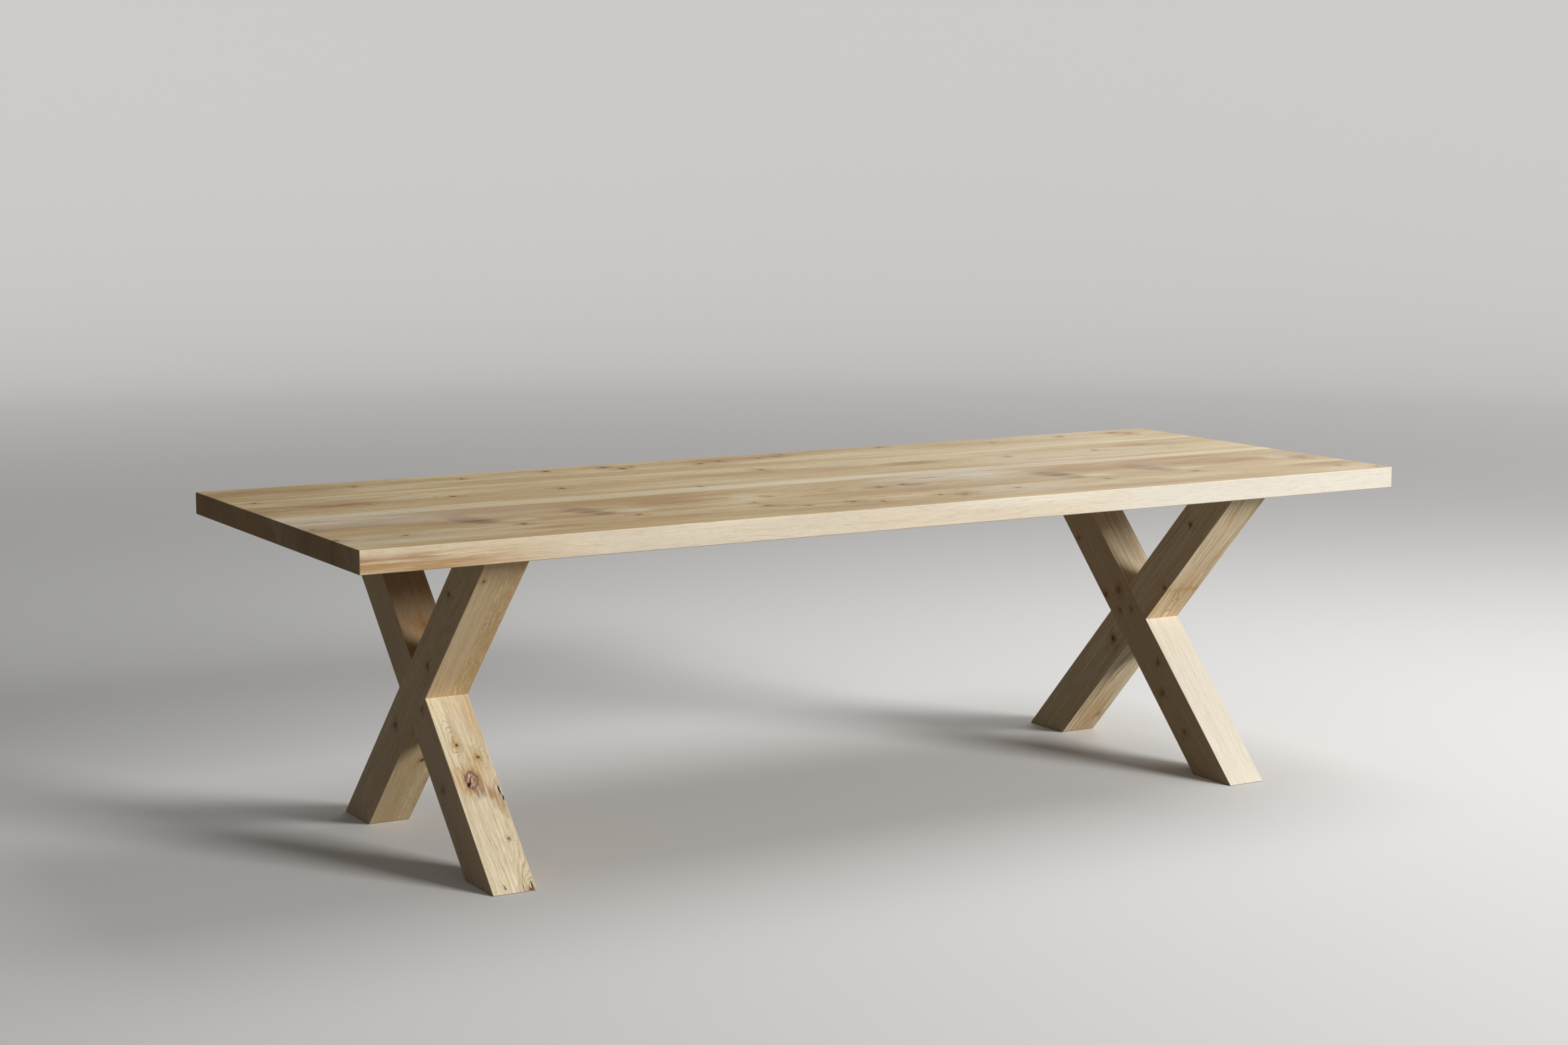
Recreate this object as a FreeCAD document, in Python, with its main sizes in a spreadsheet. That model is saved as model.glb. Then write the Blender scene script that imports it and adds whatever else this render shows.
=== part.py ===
import FreeCAD, Part
import math
import os

import Sketcher

# Sawbuck table: an edge-glued plank top on two trestles, each a pair of heavy square beams
# that cross in a halving joint. X runs along the table, Y across it, Z up from the floor,
# with the origin on the floor under the middle of the top. All sizes are in millimetres.

SIZES = {
    "table_height": 760,  # floor to the top surface
    "top_length": 2660,
    "top_width": 1000,
    "top_thickness": 50,
    "back_board_width": 235,
    "inner_back_board_width": 321,
    "inner_front_board_width": 247,  # the front board takes the rest of the width
    "top_edge_ease": 1.5,  # small chamfer round the outside of the top
    "end_overhang": 310,  # end of the top to the outer face of a trestle
    "beam_thickness": 100,  # along the table
    "beam_width": 104,  # square across its leaning sides
    "foot_spread": 837,  # over both feet of a trestle, at their cut ends
    "head_spread": 837,  # over both heads of a trestle, under the top
    "tongue_thickness": 8,
    "tongue_width": 30,
    "tongue_depth": 15,  # top surface to the middle of a tongue
    "tongue_end_stop": 60,  # end of the top to the end of a tongue
    "groove_room": 0.5,  # glue room past a tongue's edges and ends
    "pad_length": 116,  # across the table
    "pad_width": 76,  # along the table
    "pad_thickness": 5,
    "pad_proud": 1,  # how far a pad stands out of its foot
    "pad_inset": 14.5,  # outer edge of a foot to its pad
    "plate_width": 90,
    "plate_thickness": 8,
    "plate_end_inset": 12,  # outer edge of a head to the end of the plate
    "channel_width": 40,
    "channel_depth": 13,
    "channel_wall": 3,
    "channel_length": 860,
    "recess_room": 0.5,  # round each plate and channel in the top
    "screw_diameter": 8,
    "screw_head_diameter": 16,
    "screw_length": 70,
    "screw_tip": 8,  # length of the point
    "screw_gauge": 50,  # between two screws along the table
    "screw_pitch": 35,  # between two screws across the table
    "screw_inset": 85,  # outer edge of a head to its outer screws
    "pilot_room": 2,  # below a screw's point
    "bolt_diameter": 8,
    "bolt_head_diameter": 14,
    "bolt_head_height": 4.4,
    "bolt_key_size": 5,  # across the flats of the hexagon socket
    "bolt_key_depth": 2.6,
    "bolt_tip": 0.4,  # past the end of its insert
    "plate_bolt_gauge": 56,  # between two plate bolts along the table
    "plate_bolt_pitch": 200,  # between two plate bolts across the table
    "channel_bolt_pitch": 240,
    "slot_travel": 7,  # how far a bolt can move in its slot as the top swells and shrinks
    "slot_room": 0.4,  # each side of a bolt in its slot
    "washer_diameter": 20,
    "washer_thickness": 1.6,
    "insert_diameter": 12,
    "insert_length": 15,
    "insert_room": 2,  # past the end of an insert
    "bore_room": 0.1,  # round a screw, bolt or insert in its bore
}

# How many fasteners each grid has along X and along Y.
PLATE_BOLT_COUNT = (2, 3)
CHANNEL_BOLT_COUNT = (1, 4)
HEAD_SCREW_COUNT = (2, 2)
HEX_SIDE_COUNT = 6

# Each grid's counts, and its pitches in the same order.
PLATE_BOLTS = (PLATE_BOLT_COUNT, ("dims.plate_bolt_gauge", "dims.plate_bolt_pitch"))
CHANNEL_BOLTS = (CHANNEL_BOLT_COUNT, ("dims.channel_width", "dims.channel_bolt_pitch"))
HEAD_SCREWS = (HEAD_SCREW_COUNT, ("dims.screw_gauge", "dims.screw_pitch"))

TRESTLES = {"left": "-", "right": ""}  # the sign of each trestle's place along X
SIDES = {"back": 1, "front": -1}  # the sign of each foot's place along Y
UPRIGHT = FreeCAD.Vector(0, 0, 1)

doc = FreeCAD.newDocument("sawbuck_table")
sheet = doc.addObject("Spreadsheet::Sheet", "dims")
for row, (alias, size) in enumerate(SIZES.items(), start=1):
    sheet.set(f"A{row}", alias.replace("_", " "))
    sheet.set(f"B{row}", str(size))
    sheet.setAlias(f"B{row}", alias)
doc.recompute()

# Places that several pieces share, as expressions of the sheet's sizes.
UNDERSIDE = "(dims.table_height - dims.top_thickness)"
TRESTLE_X = "(dims.top_length / 2 - dims.end_overhang - dims.beam_thickness / 2)"
BACK_GLUE_LINE = "(dims.top_width / 2 - dims.back_board_width)"
MIDDLE_GLUE_LINE = f"({BACK_GLUE_LINE} - dims.inner_back_board_width)"
FRONT_GLUE_LINE = f"({MIDDLE_GLUE_LINE} - dims.inner_front_board_width)"
GLUE_LINES = (BACK_GLUE_LINE, MIDDLE_GLUE_LINE, FRONT_GLUE_LINE)
PLATE_LENGTH = "(dims.head_spread - 2 * dims.plate_end_inset)"
TONGUE_MIDDLE = "(dims.top_thickness - dims.tongue_depth)"
TONGUE_LENGTH = "(dims.top_length - 2 * dims.tongue_end_stop)"
SCREWS_Y = "(dims.head_spread / 2 - dims.screw_inset - dims.screw_pitch / 2)"
PAD_Y = "(dims.foot_spread / 2 - dims.pad_inset - dims.pad_length / 2)"
HEAD_CONE = "((dims.screw_head_diameter - dims.screw_diameter) / 2)"
SCREW_BORE = "(dims.screw_diameter + 2 * dims.bore_room)"
SLOT_WIDTH = "(dims.bolt_diameter + 2 * dims.slot_room)"


def value(expression):
    """The present number behind an expression of the sheet's sizes."""
    return float(sheet.evalExpression(expression))


def point(across, along):
    return FreeCAD.Vector(value(across), value(along), 0)


def plane(body, role):
    return next(item for item in body.Origin.OriginFeatures if item.Role == role)


def new_body(label, x="0", y="0", z="0"):
    """A body at a place given by expressions."""
    body = doc.addObject("PartDesign::Body", label)
    body.Label = label
    for axis, place in zip("xyz", (x, y, z)):
        body.setExpression(f"Placement.Base.{axis}", place)
    return body


def new_sketch(body, role, name, height=None):
    """A sketch on one of the body's own planes, raised along the plane's normal by height."""
    sketch = body.newObject("Sketcher::SketchObject", f"{body.Label}_{name}")
    sketch.AttachmentSupport = (plane(body, role), [""])
    sketch.MapMode = "FlatFace"
    if height:
        sketch.setExpression("AttachmentOffset.Base.z", height)
    return sketch


def drive(sketch, kind, *places_and_expression):
    """Adds a dimension whose size follows an expression."""
    *places, expression = places_and_expression
    index = sketch.addConstraint(Sketcher.Constraint(kind, *places, value(expression)))
    sketch.setExpression(f"Constraints[{index}]", expression)


def locate(sketch, line, end, across, along):
    """Fixes one end of a line, or a circle's centre, from the sketch's origin."""
    drive(sketch, "DistanceX", -1, 1, line, end, across)
    drive(sketch, "DistanceY", -1, 1, line, end, along)


def loop(sketch, corners):
    """Joined straight lines through the given points. Returns the first line's number."""
    first = sketch.GeometryCount
    count = len(corners)
    for here, there in zip(corners, corners[1:] + corners[:1]):
        sketch.addGeometry(Part.LineSegment(here, there), False)
    for step in range(count):
        following = first + (step + 1) % count
        sketch.addConstraint(Sketcher.Constraint("Coincident", first + step, 2, following, 1))
    return first


def outline(sketch, corners):
    """A closed outline with straight sides, each corner placed by two expressions."""
    first = loop(sketch, [point(*corner) for corner in corners])
    for step, corner in enumerate(corners):
        locate(sketch, first + step, 1, *corner)


def rectangle(sketch, middle_across, middle_along, across, along):
    """A rectangle from its middle and its two sides."""
    low = f"({middle_across} - ({across}) / 2)", f"({middle_along} - ({along}) / 2)"
    high = f"({middle_across} + ({across}) / 2)", f"({middle_along} + ({along}) / 2)"
    outline(sketch, [low, (high[0], low[1]), high, (low[0], high[1])])


def circle(sketch, across, along, diameter):
    ring = Part.Circle(point(across, along), UPRIGHT, value(diameter) / 2)
    index = sketch.addGeometry(ring, False)
    locate(sketch, index, 3, across, along)
    drive(sketch, "Diameter", index, diameter)


def slot(sketch, across, along, width, travel):
    """A round-ended slot that runs along the sketch's second axis."""
    radius = value(width) / 2
    ends = f"({along} - ({travel}) / 2)", f"({along} + ({travel}) / 2)"
    low, high = (point(across, end) for end in ends)
    low_ring, high_ring = (Part.Circle(end, UPRIGHT, radius) for end in (low, high))
    side = FreeCAD.Vector(radius, 0, 0)
    first = sketch.addGeometry(Part.ArcOfCircle(high_ring, 0, math.pi), False)
    sketch.addGeometry(Part.LineSegment(high - side, low - side), False)
    sketch.addGeometry(Part.ArcOfCircle(low_ring, math.pi, 2 * math.pi), False)
    sketch.addGeometry(Part.LineSegment(low + side, high + side), False)
    for step in range(4):
        following = first + (step + 1) % 4
        sketch.addConstraint(Sketcher.Constraint("Tangent", first + step, 2, following, 1))
    sketch.addConstraint(Sketcher.Constraint("Equal", first, first + 2))
    locate(sketch, first, 3, across, ends[1])
    locate(sketch, first + 2, 3, across, ends[0])
    drive(sketch, "Diameter", first, width)


def pad(body, sketch, length, both_ways=False):
    feature = body.newObject("PartDesign::Pad", f"{sketch.Label}_pad")
    feature.Profile = sketch
    feature.SideType = "Symmetric" if both_ways else "One side"
    feature.setExpression("Length", length)
    doc.recompute()
    return feature


def pocket(body, sketch, depth, both_ways=False, forward=True, may_miss=False):
    """Cuts a sketch out of its body, along the sketch's normal or against it."""
    before = body.Shape.Volume
    feature = body.newObject("PartDesign::Pocket", f"{sketch.Label}_pocket")
    feature.Profile = sketch
    feature.SideType = "Symmetric" if both_ways else "One side"
    feature.Reversed = forward
    feature.setExpression("Length", depth)
    doc.recompute()
    if not may_miss and body.Shape.Volume >= before:
        raise RuntimeError(f"{feature.Label} cuts nothing")
    return feature


def turn(body, corners):
    """A solid of revolution about the body's own Z axis, from radius and height pairs."""
    sketch = new_sketch(body, "XZ_Plane", "half_section")
    outline(sketch, corners)
    feature = body.newObject("PartDesign::Revolution", f"{body.Label}_turned")
    feature.Profile = sketch
    feature.ReferenceAxis = (sketch, ["V_Axis"])
    feature.Angle = 360
    doc.recompute()
    return feature


def repeat(body, features, counts, pitches):
    """Repeats a grid's first fastener, made of these features, over the grid."""
    (columns, rows), (gauge, pitch) = counts, pitches
    grid = body.newObject("PartDesign::LinearPattern", f"{body.Label}_grid")
    grid.Originals = features
    grid.Direction = (plane(body, "X_Axis"), [""])
    grid.Occurrences = columns
    grid.setExpression("Length", f"{gauge} * {max(columns - 1, 1)}")
    grid.Direction2 = (plane(body, "Y_Axis"), [""])
    grid.Occurrences2 = rows
    grid.setExpression("Length2", f"{pitch} * {max(rows - 1, 1)}")
    body.Tip = grid
    doc.recompute()


def grid_places(counts, pitches):
    """The places of a grid's fasteners, as pairs of expressions from the grid's middle."""
    (columns, rows), (gauge, pitch) = counts, pitches
    return [
        (f"({gauge} * {column - (columns - 1) / 2})", f"({pitch} * {row - (rows - 1) / 2})")
        for column in range(columns)
        for row in range(rows)
    ]


def outer_edges(solid, faces):
    """Names of the edges that lie on two of the given outside faces, each (axis, place)."""
    names = []
    for number, edge in enumerate(solid.Edges, start=1):
        box = edge.BoundBox
        ends = {"x": (box.XMin, box.XMax), "y": (box.YMin, box.YMax), "z": (box.ZMin, box.ZMax)}
        held = [axis for axis, place in faces if max(abs(end - place) for end in ends[axis]) < 1e-6]
        if len(held) > 1:
            names.append(f"Edge{number}")
    return names


def make_board(label, front, back):
    """One plank of the top, with its tongue grooves and the cuts for the steel in its underside."""
    board = new_body(label, z=UNDERSIDE)
    blank = new_sketch(board, "XY_Plane", "blank")
    middle = f"(({front} + {back}) / 2)"
    rectangle(blank, "0", middle, "dims.top_length", f"({back} - {front})")
    plank = pad(board, blank, "dims.top_thickness")
    half_length, half_width = value("dims.top_length / 2"), value("dims.top_width / 2")
    outside = [("x", -half_length), ("x", half_length), ("y", -half_width), ("y", half_width)]
    outside += [("z", 0), ("z", value("dims.top_thickness"))]
    eased = board.newObject("PartDesign::Chamfer", f"{label}_eased")
    eased.Base = (plank, outer_edges(plank.Shape, outside))
    eased.setExpression("Size", "dims.top_edge_ease")
    doc.recompute()

    grooves = new_sketch(board, "YZ_Plane", "grooves")
    for glue_line in GLUE_LINES:
        wide = "(dims.tongue_width + 2 * dims.groove_room)"
        rectangle(grooves, glue_line, TONGUE_MIDDLE, wide, "dims.tongue_thickness")
    pocket(board, grooves, TONGUE_LENGTH, both_ways=True)

    plates = new_sketch(board, "XY_Plane", "plate_recesses")
    for sign in TRESTLES.values():
        wide = "(dims.plate_width + 2 * dims.recess_room)"
        rectangle(plates, f"{sign}{TRESTLE_X}", "0", wide, f"({PLATE_LENGTH} + 2 * dims.recess_room)")
    pocket(board, plates, "dims.plate_thickness")

    channel = new_sketch(board, "XY_Plane", "channel_recess")
    wide = "(dims.channel_width + 2 * dims.recess_room)"
    rectangle(channel, "0", "0", wide, "(dims.channel_length + 2 * dims.recess_room)")
    pocket(board, channel, "dims.channel_depth")

    bore = "(dims.insert_diameter + 2 * dims.bore_room)"
    plate_bores = new_sketch(board, "XY_Plane", "plate_insert_bores")
    for sign in TRESTLES.values():
        for x, y in grid_places(*PLATE_BOLTS):
            circle(plate_bores, f"({sign}{TRESTLE_X} + {x})", y, bore)
    channel_bores = new_sketch(board, "XY_Plane", "channel_insert_bores")
    for x, y in grid_places(*CHANNEL_BOLTS):
        circle(channel_bores, x, y, bore)
    past_steel = "dims.insert_length + dims.insert_room"
    # A plank can lie outside a grid's rows, so these need not cut anything.
    pocket(board, plate_bores, f"dims.plate_thickness + {past_steel}", may_miss=True)
    pocket(board, channel_bores, f"dims.channel_depth + {past_steel}", may_miss=True)


def make_tongue(label, glue_line):
    """A loose tongue that bridges two planks at a glue line."""
    tongue = doc.addObject("Part::Box", label)
    tongue.Label = label
    tongue.setExpression("Length", f"{TONGUE_LENGTH} - 2 * dims.groove_room")
    tongue.setExpression("Width", "dims.tongue_width")
    tongue.setExpression("Height", "dims.tongue_thickness")
    tongue.setExpression("Placement.Base.x", f"dims.groove_room - {TONGUE_LENGTH} / 2")
    tongue.setExpression("Placement.Base.y", f"{glue_line} - dims.tongue_width / 2")
    middle = f"{UNDERSIDE} + {TONGUE_MIDDLE}"
    tongue.setExpression("Placement.Base.z", f"{middle} - dims.tongue_thickness / 2")


def lean_outline(sketch, side):
    """The leaning outline of a beam whose foot is on this side of the trestle: +1 back, -1 front.

    Its cut ends are level, its outer corners lie on the two spreads, and its long sides are
    parallel, one beam width apart. The lean follows from these.
    """
    foot = f"{side} * dims.foot_spread / 2"
    head = f"{-side} * dims.head_spread / 2"
    level_cut = 1.4 * side * value("dims.beam_width")  # a first guess, which the sketch corrects
    reach = FreeCAD.Vector(level_cut, 0, 0)
    low, high = point(foot, "dims.pad_proud"), point(head, UNDERSIDE)
    first = loop(sketch, [low, low - reach, high, high + reach])
    foot_cut, inner_side, head_cut, outer_side = range(first, first + 4)
    locate(sketch, foot_cut, 1, foot, "dims.pad_proud")
    locate(sketch, head_cut, 1, head, UNDERSIDE)
    for level in (foot_cut, head_cut):
        sketch.addConstraint(Sketcher.Constraint("Horizontal", level))
    sketch.addConstraint(Sketcher.Constraint("Parallel", inner_side, outer_side))
    drive(sketch, "Distance", foot_cut, 1, inner_side, "dims.beam_width")


def make_leg(trestle, sign, foot, side):
    """One beam of a trestle, halved where it crosses its mate.

    The beam with its foot at the back stays whole on the table's outer side, and its mate
    on the inner side.
    """
    leg = new_body(f"{trestle}_leg_{foot}_foot", x=f"{sign}{TRESTLE_X}")
    shape = new_sketch(leg, "YZ_Plane", "outline")
    lean_outline(shape, side)
    pad(leg, shape, "dims.beam_thickness", both_ways=True)

    lap = new_sketch(leg, "YZ_Plane", "lap")
    lean_outline(lap, -side)
    cut_towards_right = (trestle == "left") == (foot == "back")
    pocket(leg, lap, "dims.beam_thickness / 2", forward=cut_towards_right)

    seat = new_sketch(leg, "XY_Plane", "pad_seat")
    rectangle(seat, "0", f"({side} * {PAD_Y})", "dims.pad_width", "dims.pad_length")
    pocket(leg, seat, "dims.pad_thickness")

    pilots = new_sketch(leg, "XY_Plane", "pilots", height=UNDERSIDE)
    for x, y in grid_places(*HEAD_SCREWS):
        circle(pilots, x, f"({-side} * {SCREWS_Y} + {y})", SCREW_BORE)
    depth = "dims.screw_length - dims.plate_thickness + dims.pilot_room"
    pocket(leg, pilots, depth, forward=False)


def make_foot_pad(trestle, sign, foot, side):
    """A hard felt pad, let into the underside of a foot."""
    label = f"{trestle}_foot_pad_{foot}"
    felt = doc.addObject("Part::Box", label)
    felt.Label = label
    felt.setExpression("Length", "dims.pad_width")
    felt.setExpression("Width", "dims.pad_length")
    felt.setExpression("Height", "dims.pad_thickness")
    felt.setExpression("Placement.Base.x", f"{sign}{TRESTLE_X} - dims.pad_width / 2")
    felt.setExpression("Placement.Base.y", f"{side} * {PAD_Y} - dims.pad_length / 2")


def make_plate(trestle, sign):
    """The steel plate that joins both heads of a trestle to the top, flush in its underside."""
    plate = new_body(f"{trestle}_head_plate", x=f"{sign}{TRESTLE_X}", z=UNDERSIDE)
    blank = new_sketch(plate, "XY_Plane", "blank")
    rectangle(blank, "0", "0", "dims.plate_width", PLATE_LENGTH)
    pad(plate, blank, "dims.plate_thickness")
    slots = new_sketch(plate, "XY_Plane", "slots")
    for x, y in grid_places(*PLATE_BOLTS):
        slot(slots, x, y, SLOT_WIDTH, "dims.slot_travel")
    pocket(plate, slots, "dims.plate_thickness")

    screws = new_sketch(plate, "XY_Plane", "screw_holes", height="dims.plate_thickness")
    for side in SIDES.values():
        for x, y in grid_places(*HEAD_SCREWS):
            circle(screws, x, f"({side} * {SCREWS_Y} + {y})", SCREW_BORE)
    hole = plate.newObject("PartDesign::Hole", f"{plate.Label}_countersunk_holes")
    hole.Profile = screws
    doc.recompute()
    hole.DepthType = "ThroughAll"
    hole.Threaded = False
    hole.HoleCutType = "Countersink"
    hole.HoleCutCustomValues = True
    hole.HoleCutCountersinkAngle = 90
    hole.setExpression("Diameter", SCREW_BORE)
    hole.setExpression("HoleCutDiameter", "dims.screw_head_diameter + 2 * dims.bore_room")
    doc.recompute()


def make_channel():
    """The steel channel across the middle of the top, flush in its underside, which keeps it flat."""
    channel = new_body("middle_channel", z=UNDERSIDE)
    section = new_sketch(channel, "XZ_Plane", "section")
    outer = "(dims.channel_width / 2)"
    inner = f"({outer} - dims.channel_wall)"
    corners = [
        (f"-{outer}", "0"),
        (outer, "0"),
        (outer, "dims.channel_depth"),
        (inner, "dims.channel_depth"),
        (inner, "dims.channel_wall"),
        (f"-{inner}", "dims.channel_wall"),
        (f"-{inner}", "dims.channel_depth"),
        (f"-{outer}", "dims.channel_depth"),
    ]
    outline(section, corners)
    pad(channel, section, "dims.channel_length", both_ways=True)
    slots = new_sketch(channel, "XY_Plane", "slots")
    for x, y in grid_places(*CHANNEL_BOLTS):
        slot(slots, x, y, SLOT_WIDTH, "dims.slot_travel")
    pocket(channel, slots, "dims.channel_wall")


def make_head_screws(trestle, sign, head, side):
    """The countersunk wood screws that hold the plate down on one beam's head."""
    x = f"{sign}{TRESTLE_X} - dims.screw_gauge / 2"
    y = f"{side} * {SCREWS_Y} - dims.screw_pitch / 2"
    z = f"{UNDERSIDE} + dims.plate_thickness"
    screws = new_body(f"{trestle}_plate_screws_{head}", x, y, z)
    shank = "(dims.screw_diameter / 2)"
    corners = [
        ("0", "0"),
        ("0", "-dims.screw_length"),
        (shank, "dims.screw_tip - dims.screw_length"),
        (shank, f"-{HEAD_CONE}"),
        ("dims.screw_head_diameter / 2", "0"),
    ]
    repeat(screws, [turn(screws, corners)], *HEAD_SCREWS)


def make_bolting(name, middle, steel_depth, grid):
    """The bolts, washers and threaded inserts that hold one steel piece up to the top."""
    (columns, rows), (gauge, pitch) = grid
    x = f"{middle} - {gauge} * {(columns - 1) / 2}"
    y = f"-{pitch} * {(rows - 1) / 2}"
    washer_face = "dims.washer_thickness"
    bolts = new_body(f"{name}_bolts", x, y, f"{UNDERSIDE} - {washer_face}")
    shank = "(dims.bolt_diameter / 2)"
    length = f"({washer_face} + {steel_depth} + dims.insert_length + dims.bolt_tip)"
    head = "(dims.bolt_head_diameter / 2)"
    corners = [
        ("0", "-dims.bolt_head_height"),
        (f"({head} - dims.bolt_head_height / 3)", "-dims.bolt_head_height"),
        (head, "-dims.bolt_head_height / 2"),
        (head, "0"),
        (shank, "0"),
        (shank, length),
        ("0", length),
    ]
    bolt = turn(bolts, corners)
    socket = new_sketch(bolts, "XY_Plane", "key_socket", height="-dims.bolt_head_height")
    corner_reach = "(dims.bolt_key_size / 2 / cos(30 deg))"
    hexagon = [
        (f"{corner_reach} * cos({turned} deg)", f"{corner_reach} * sin({turned} deg)")
        for turned in range(0, 360, 360 // HEX_SIDE_COUNT)
    ]
    outline(socket, hexagon)
    key = pocket(bolts, socket, "dims.bolt_key_depth")
    repeat(bolts, [bolt, key], *grid)

    washers = new_body(f"{name}_washers", x, y, f"{UNDERSIDE} - {washer_face}")
    bore = f"({shank} + dims.bore_room)"
    rim = "(dims.washer_diameter / 2)"
    ring = [(bore, "0"), (rim, "0"), (rim, washer_face), (bore, washer_face)]
    repeat(washers, [turn(washers, ring)], *grid)

    inserts = new_body(f"{name}_inserts", x, y, f"{UNDERSIDE} + {steel_depth}")
    wall = "(dims.insert_diameter / 2)"
    top = "dims.insert_length"
    sleeve = [(bore, "0"), (wall, "0"), (wall, top), (bore, top)]
    repeat(inserts, [turn(inserts, sleeve)], *grid)


# The front and back edge of each plank.
BOARDS = {
    "top_board_back": (BACK_GLUE_LINE, "(dims.top_width / 2)"),
    "top_board_inner_back": (MIDDLE_GLUE_LINE, BACK_GLUE_LINE),
    "top_board_inner_front": (FRONT_GLUE_LINE, MIDDLE_GLUE_LINE),
    "top_board_front": ("(-dims.top_width / 2)", FRONT_GLUE_LINE),
}

for name, (front_edge, back_edge) in BOARDS.items():
    make_board(name, front_edge, back_edge)
for name, line in zip(("back", "middle", "front"), GLUE_LINES):
    make_tongue(f"top_tongue_{name}", line)
for trestle_name, trestle_sign in TRESTLES.items():
    for side_name, side_sign in SIDES.items():
        make_leg(trestle_name, trestle_sign, side_name, side_sign)
        make_foot_pad(trestle_name, trestle_sign, side_name, side_sign)
        make_head_screws(trestle_name, trestle_sign, side_name, side_sign)
    make_plate(trestle_name, trestle_sign)
    trestle_x = f"{trestle_sign}{TRESTLE_X}"
    make_bolting(f"{trestle_name}_plate", trestle_x, "dims.plate_thickness", PLATE_BOLTS)
make_channel()
make_bolting("channel", "0", "dims.channel_depth", CHANNEL_BOLTS)
doc.recompute()

for item in doc.Objects:
    if "Invalid" in item.State or "Error" in item.State:
        raise RuntimeError(f"{item.Label} did not build: {item.State}")
pieces = [item for item in doc.Objects if item.TypeId in ("PartDesign::Body", "Part::Box")]
for piece in pieces:
    if piece.Shape.isNull() or not piece.Shape.isValid():
        raise RuntimeError(f"{piece.Label} has no valid shape")
os.makedirs("parts", exist_ok=True)
for piece in pieces:
    piece.Shape.exportStep(f"parts/{piece.Label}.step")
    box = piece.Shape.BoundBox
    solids = len(piece.Shape.Solids)
    print(f"{piece.Label}: {solids} solid(s), {piece.Shape.Volume / 1000:.1f} cm3, {box}")
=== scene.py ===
# %% [markdown]
# # A sawbuck table in oak
#
# This lesson dresses a finished CAD model of a long dining table. The table has a top of four glued
# planks, and two trestles, each of two heavy beams that cross in a halving joint. Steel plates, bolts
# and inserts hold the top on from below, where hardly anyone looks.
#
# The packed model comes in as a fixed frame. Everything here is in metres, with the floor at z = 0,
# the length of the table along x and its width along y. Nothing in the frame is moved. A piece
# whose shape is already right gets a better finish, and the others are replaced by finer ones.

# %% Load the frame
import math
import random
from functools import partialmethod

import bmesh
import bpy
from mathutils import Matrix, Vector


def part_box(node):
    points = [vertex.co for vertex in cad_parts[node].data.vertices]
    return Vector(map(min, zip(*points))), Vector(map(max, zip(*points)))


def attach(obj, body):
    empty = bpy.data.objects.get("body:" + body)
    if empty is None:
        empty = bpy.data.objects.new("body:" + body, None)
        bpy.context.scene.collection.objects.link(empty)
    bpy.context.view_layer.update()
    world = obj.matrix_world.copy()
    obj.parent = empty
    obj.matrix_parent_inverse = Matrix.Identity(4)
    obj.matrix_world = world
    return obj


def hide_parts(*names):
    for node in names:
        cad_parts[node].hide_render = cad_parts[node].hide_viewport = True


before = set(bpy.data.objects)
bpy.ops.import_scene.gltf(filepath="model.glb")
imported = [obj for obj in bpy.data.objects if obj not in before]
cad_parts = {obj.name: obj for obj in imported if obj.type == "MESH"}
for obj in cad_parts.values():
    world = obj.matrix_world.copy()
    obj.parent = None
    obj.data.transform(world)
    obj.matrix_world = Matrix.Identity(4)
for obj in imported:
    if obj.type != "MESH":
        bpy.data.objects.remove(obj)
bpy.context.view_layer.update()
print("pieces in the frame:", len(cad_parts))

# %% [markdown]
# ## The viewpoint
#
# The table is seen from standing height, past its left front corner, with a slightly long lens. A
# long lens keeps the two trestles close in size and the edges of the top nearly parallel. A wide lens
# close by would also show the whole table, but it would stretch the near corner.

# %% Set up the camera
LENS, SENSOR = 63.887, 36
EYE = (-3.2956, -5.5598, 1.5861)
TILT, TURN = math.radians(81.821), math.radians(-30.016)


def new_object(name, data):
    """A new object, linked into the scene."""
    made = bpy.data.objects.new(name, data)
    bpy.context.scene.collection.objects.link(made)
    return made


lens = bpy.data.cameras.new("viewpoint")
lens.lens = LENS
lens.sensor_width = SENSOR
camera = new_object("viewpoint", lens)
camera.location = EYE
camera.rotation_euler = (TILT, 0, TURN)
bpy.context.scene.camera = camera
print("camera height in metres:", round(camera.location.z, 2))

# %% [markdown]
# ## The studio
#
# Photographers stand furniture on a sweep: a pale floor that curves up into a pale wall, so that no
# corner shows. A flat plane would end in a hard horizon. Here the sweep goes all the way round, like a
# very large bowl, so that the table can be looked at from every side. It is a half-profile turned
# about the upright axis, ring by ring.

# %% Turn the floor and its sweep
INNER_RING = 3.0
FLOOR_REACH = 10.0
SWEEP_RADIUS = 3.0
WALL_TOP = 5.5
BOWL_SIDES = 96


def join_rings(work, rings):
    """Faces between each ring of points and the next one."""
    faces = []
    for lower, upper in zip(rings, rings[1:]):
        for here in range(len(lower)):
            faces.append(work.faces.new((lower[here - 1], lower[here], upper[here], upper[here - 1])))
    return faces


def new_mesh(name, work):
    """Turns mesh work into a mesh."""
    mesh = bpy.data.meshes.new(name)
    work.to_mesh(mesh)
    work.free()
    return mesh


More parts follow.
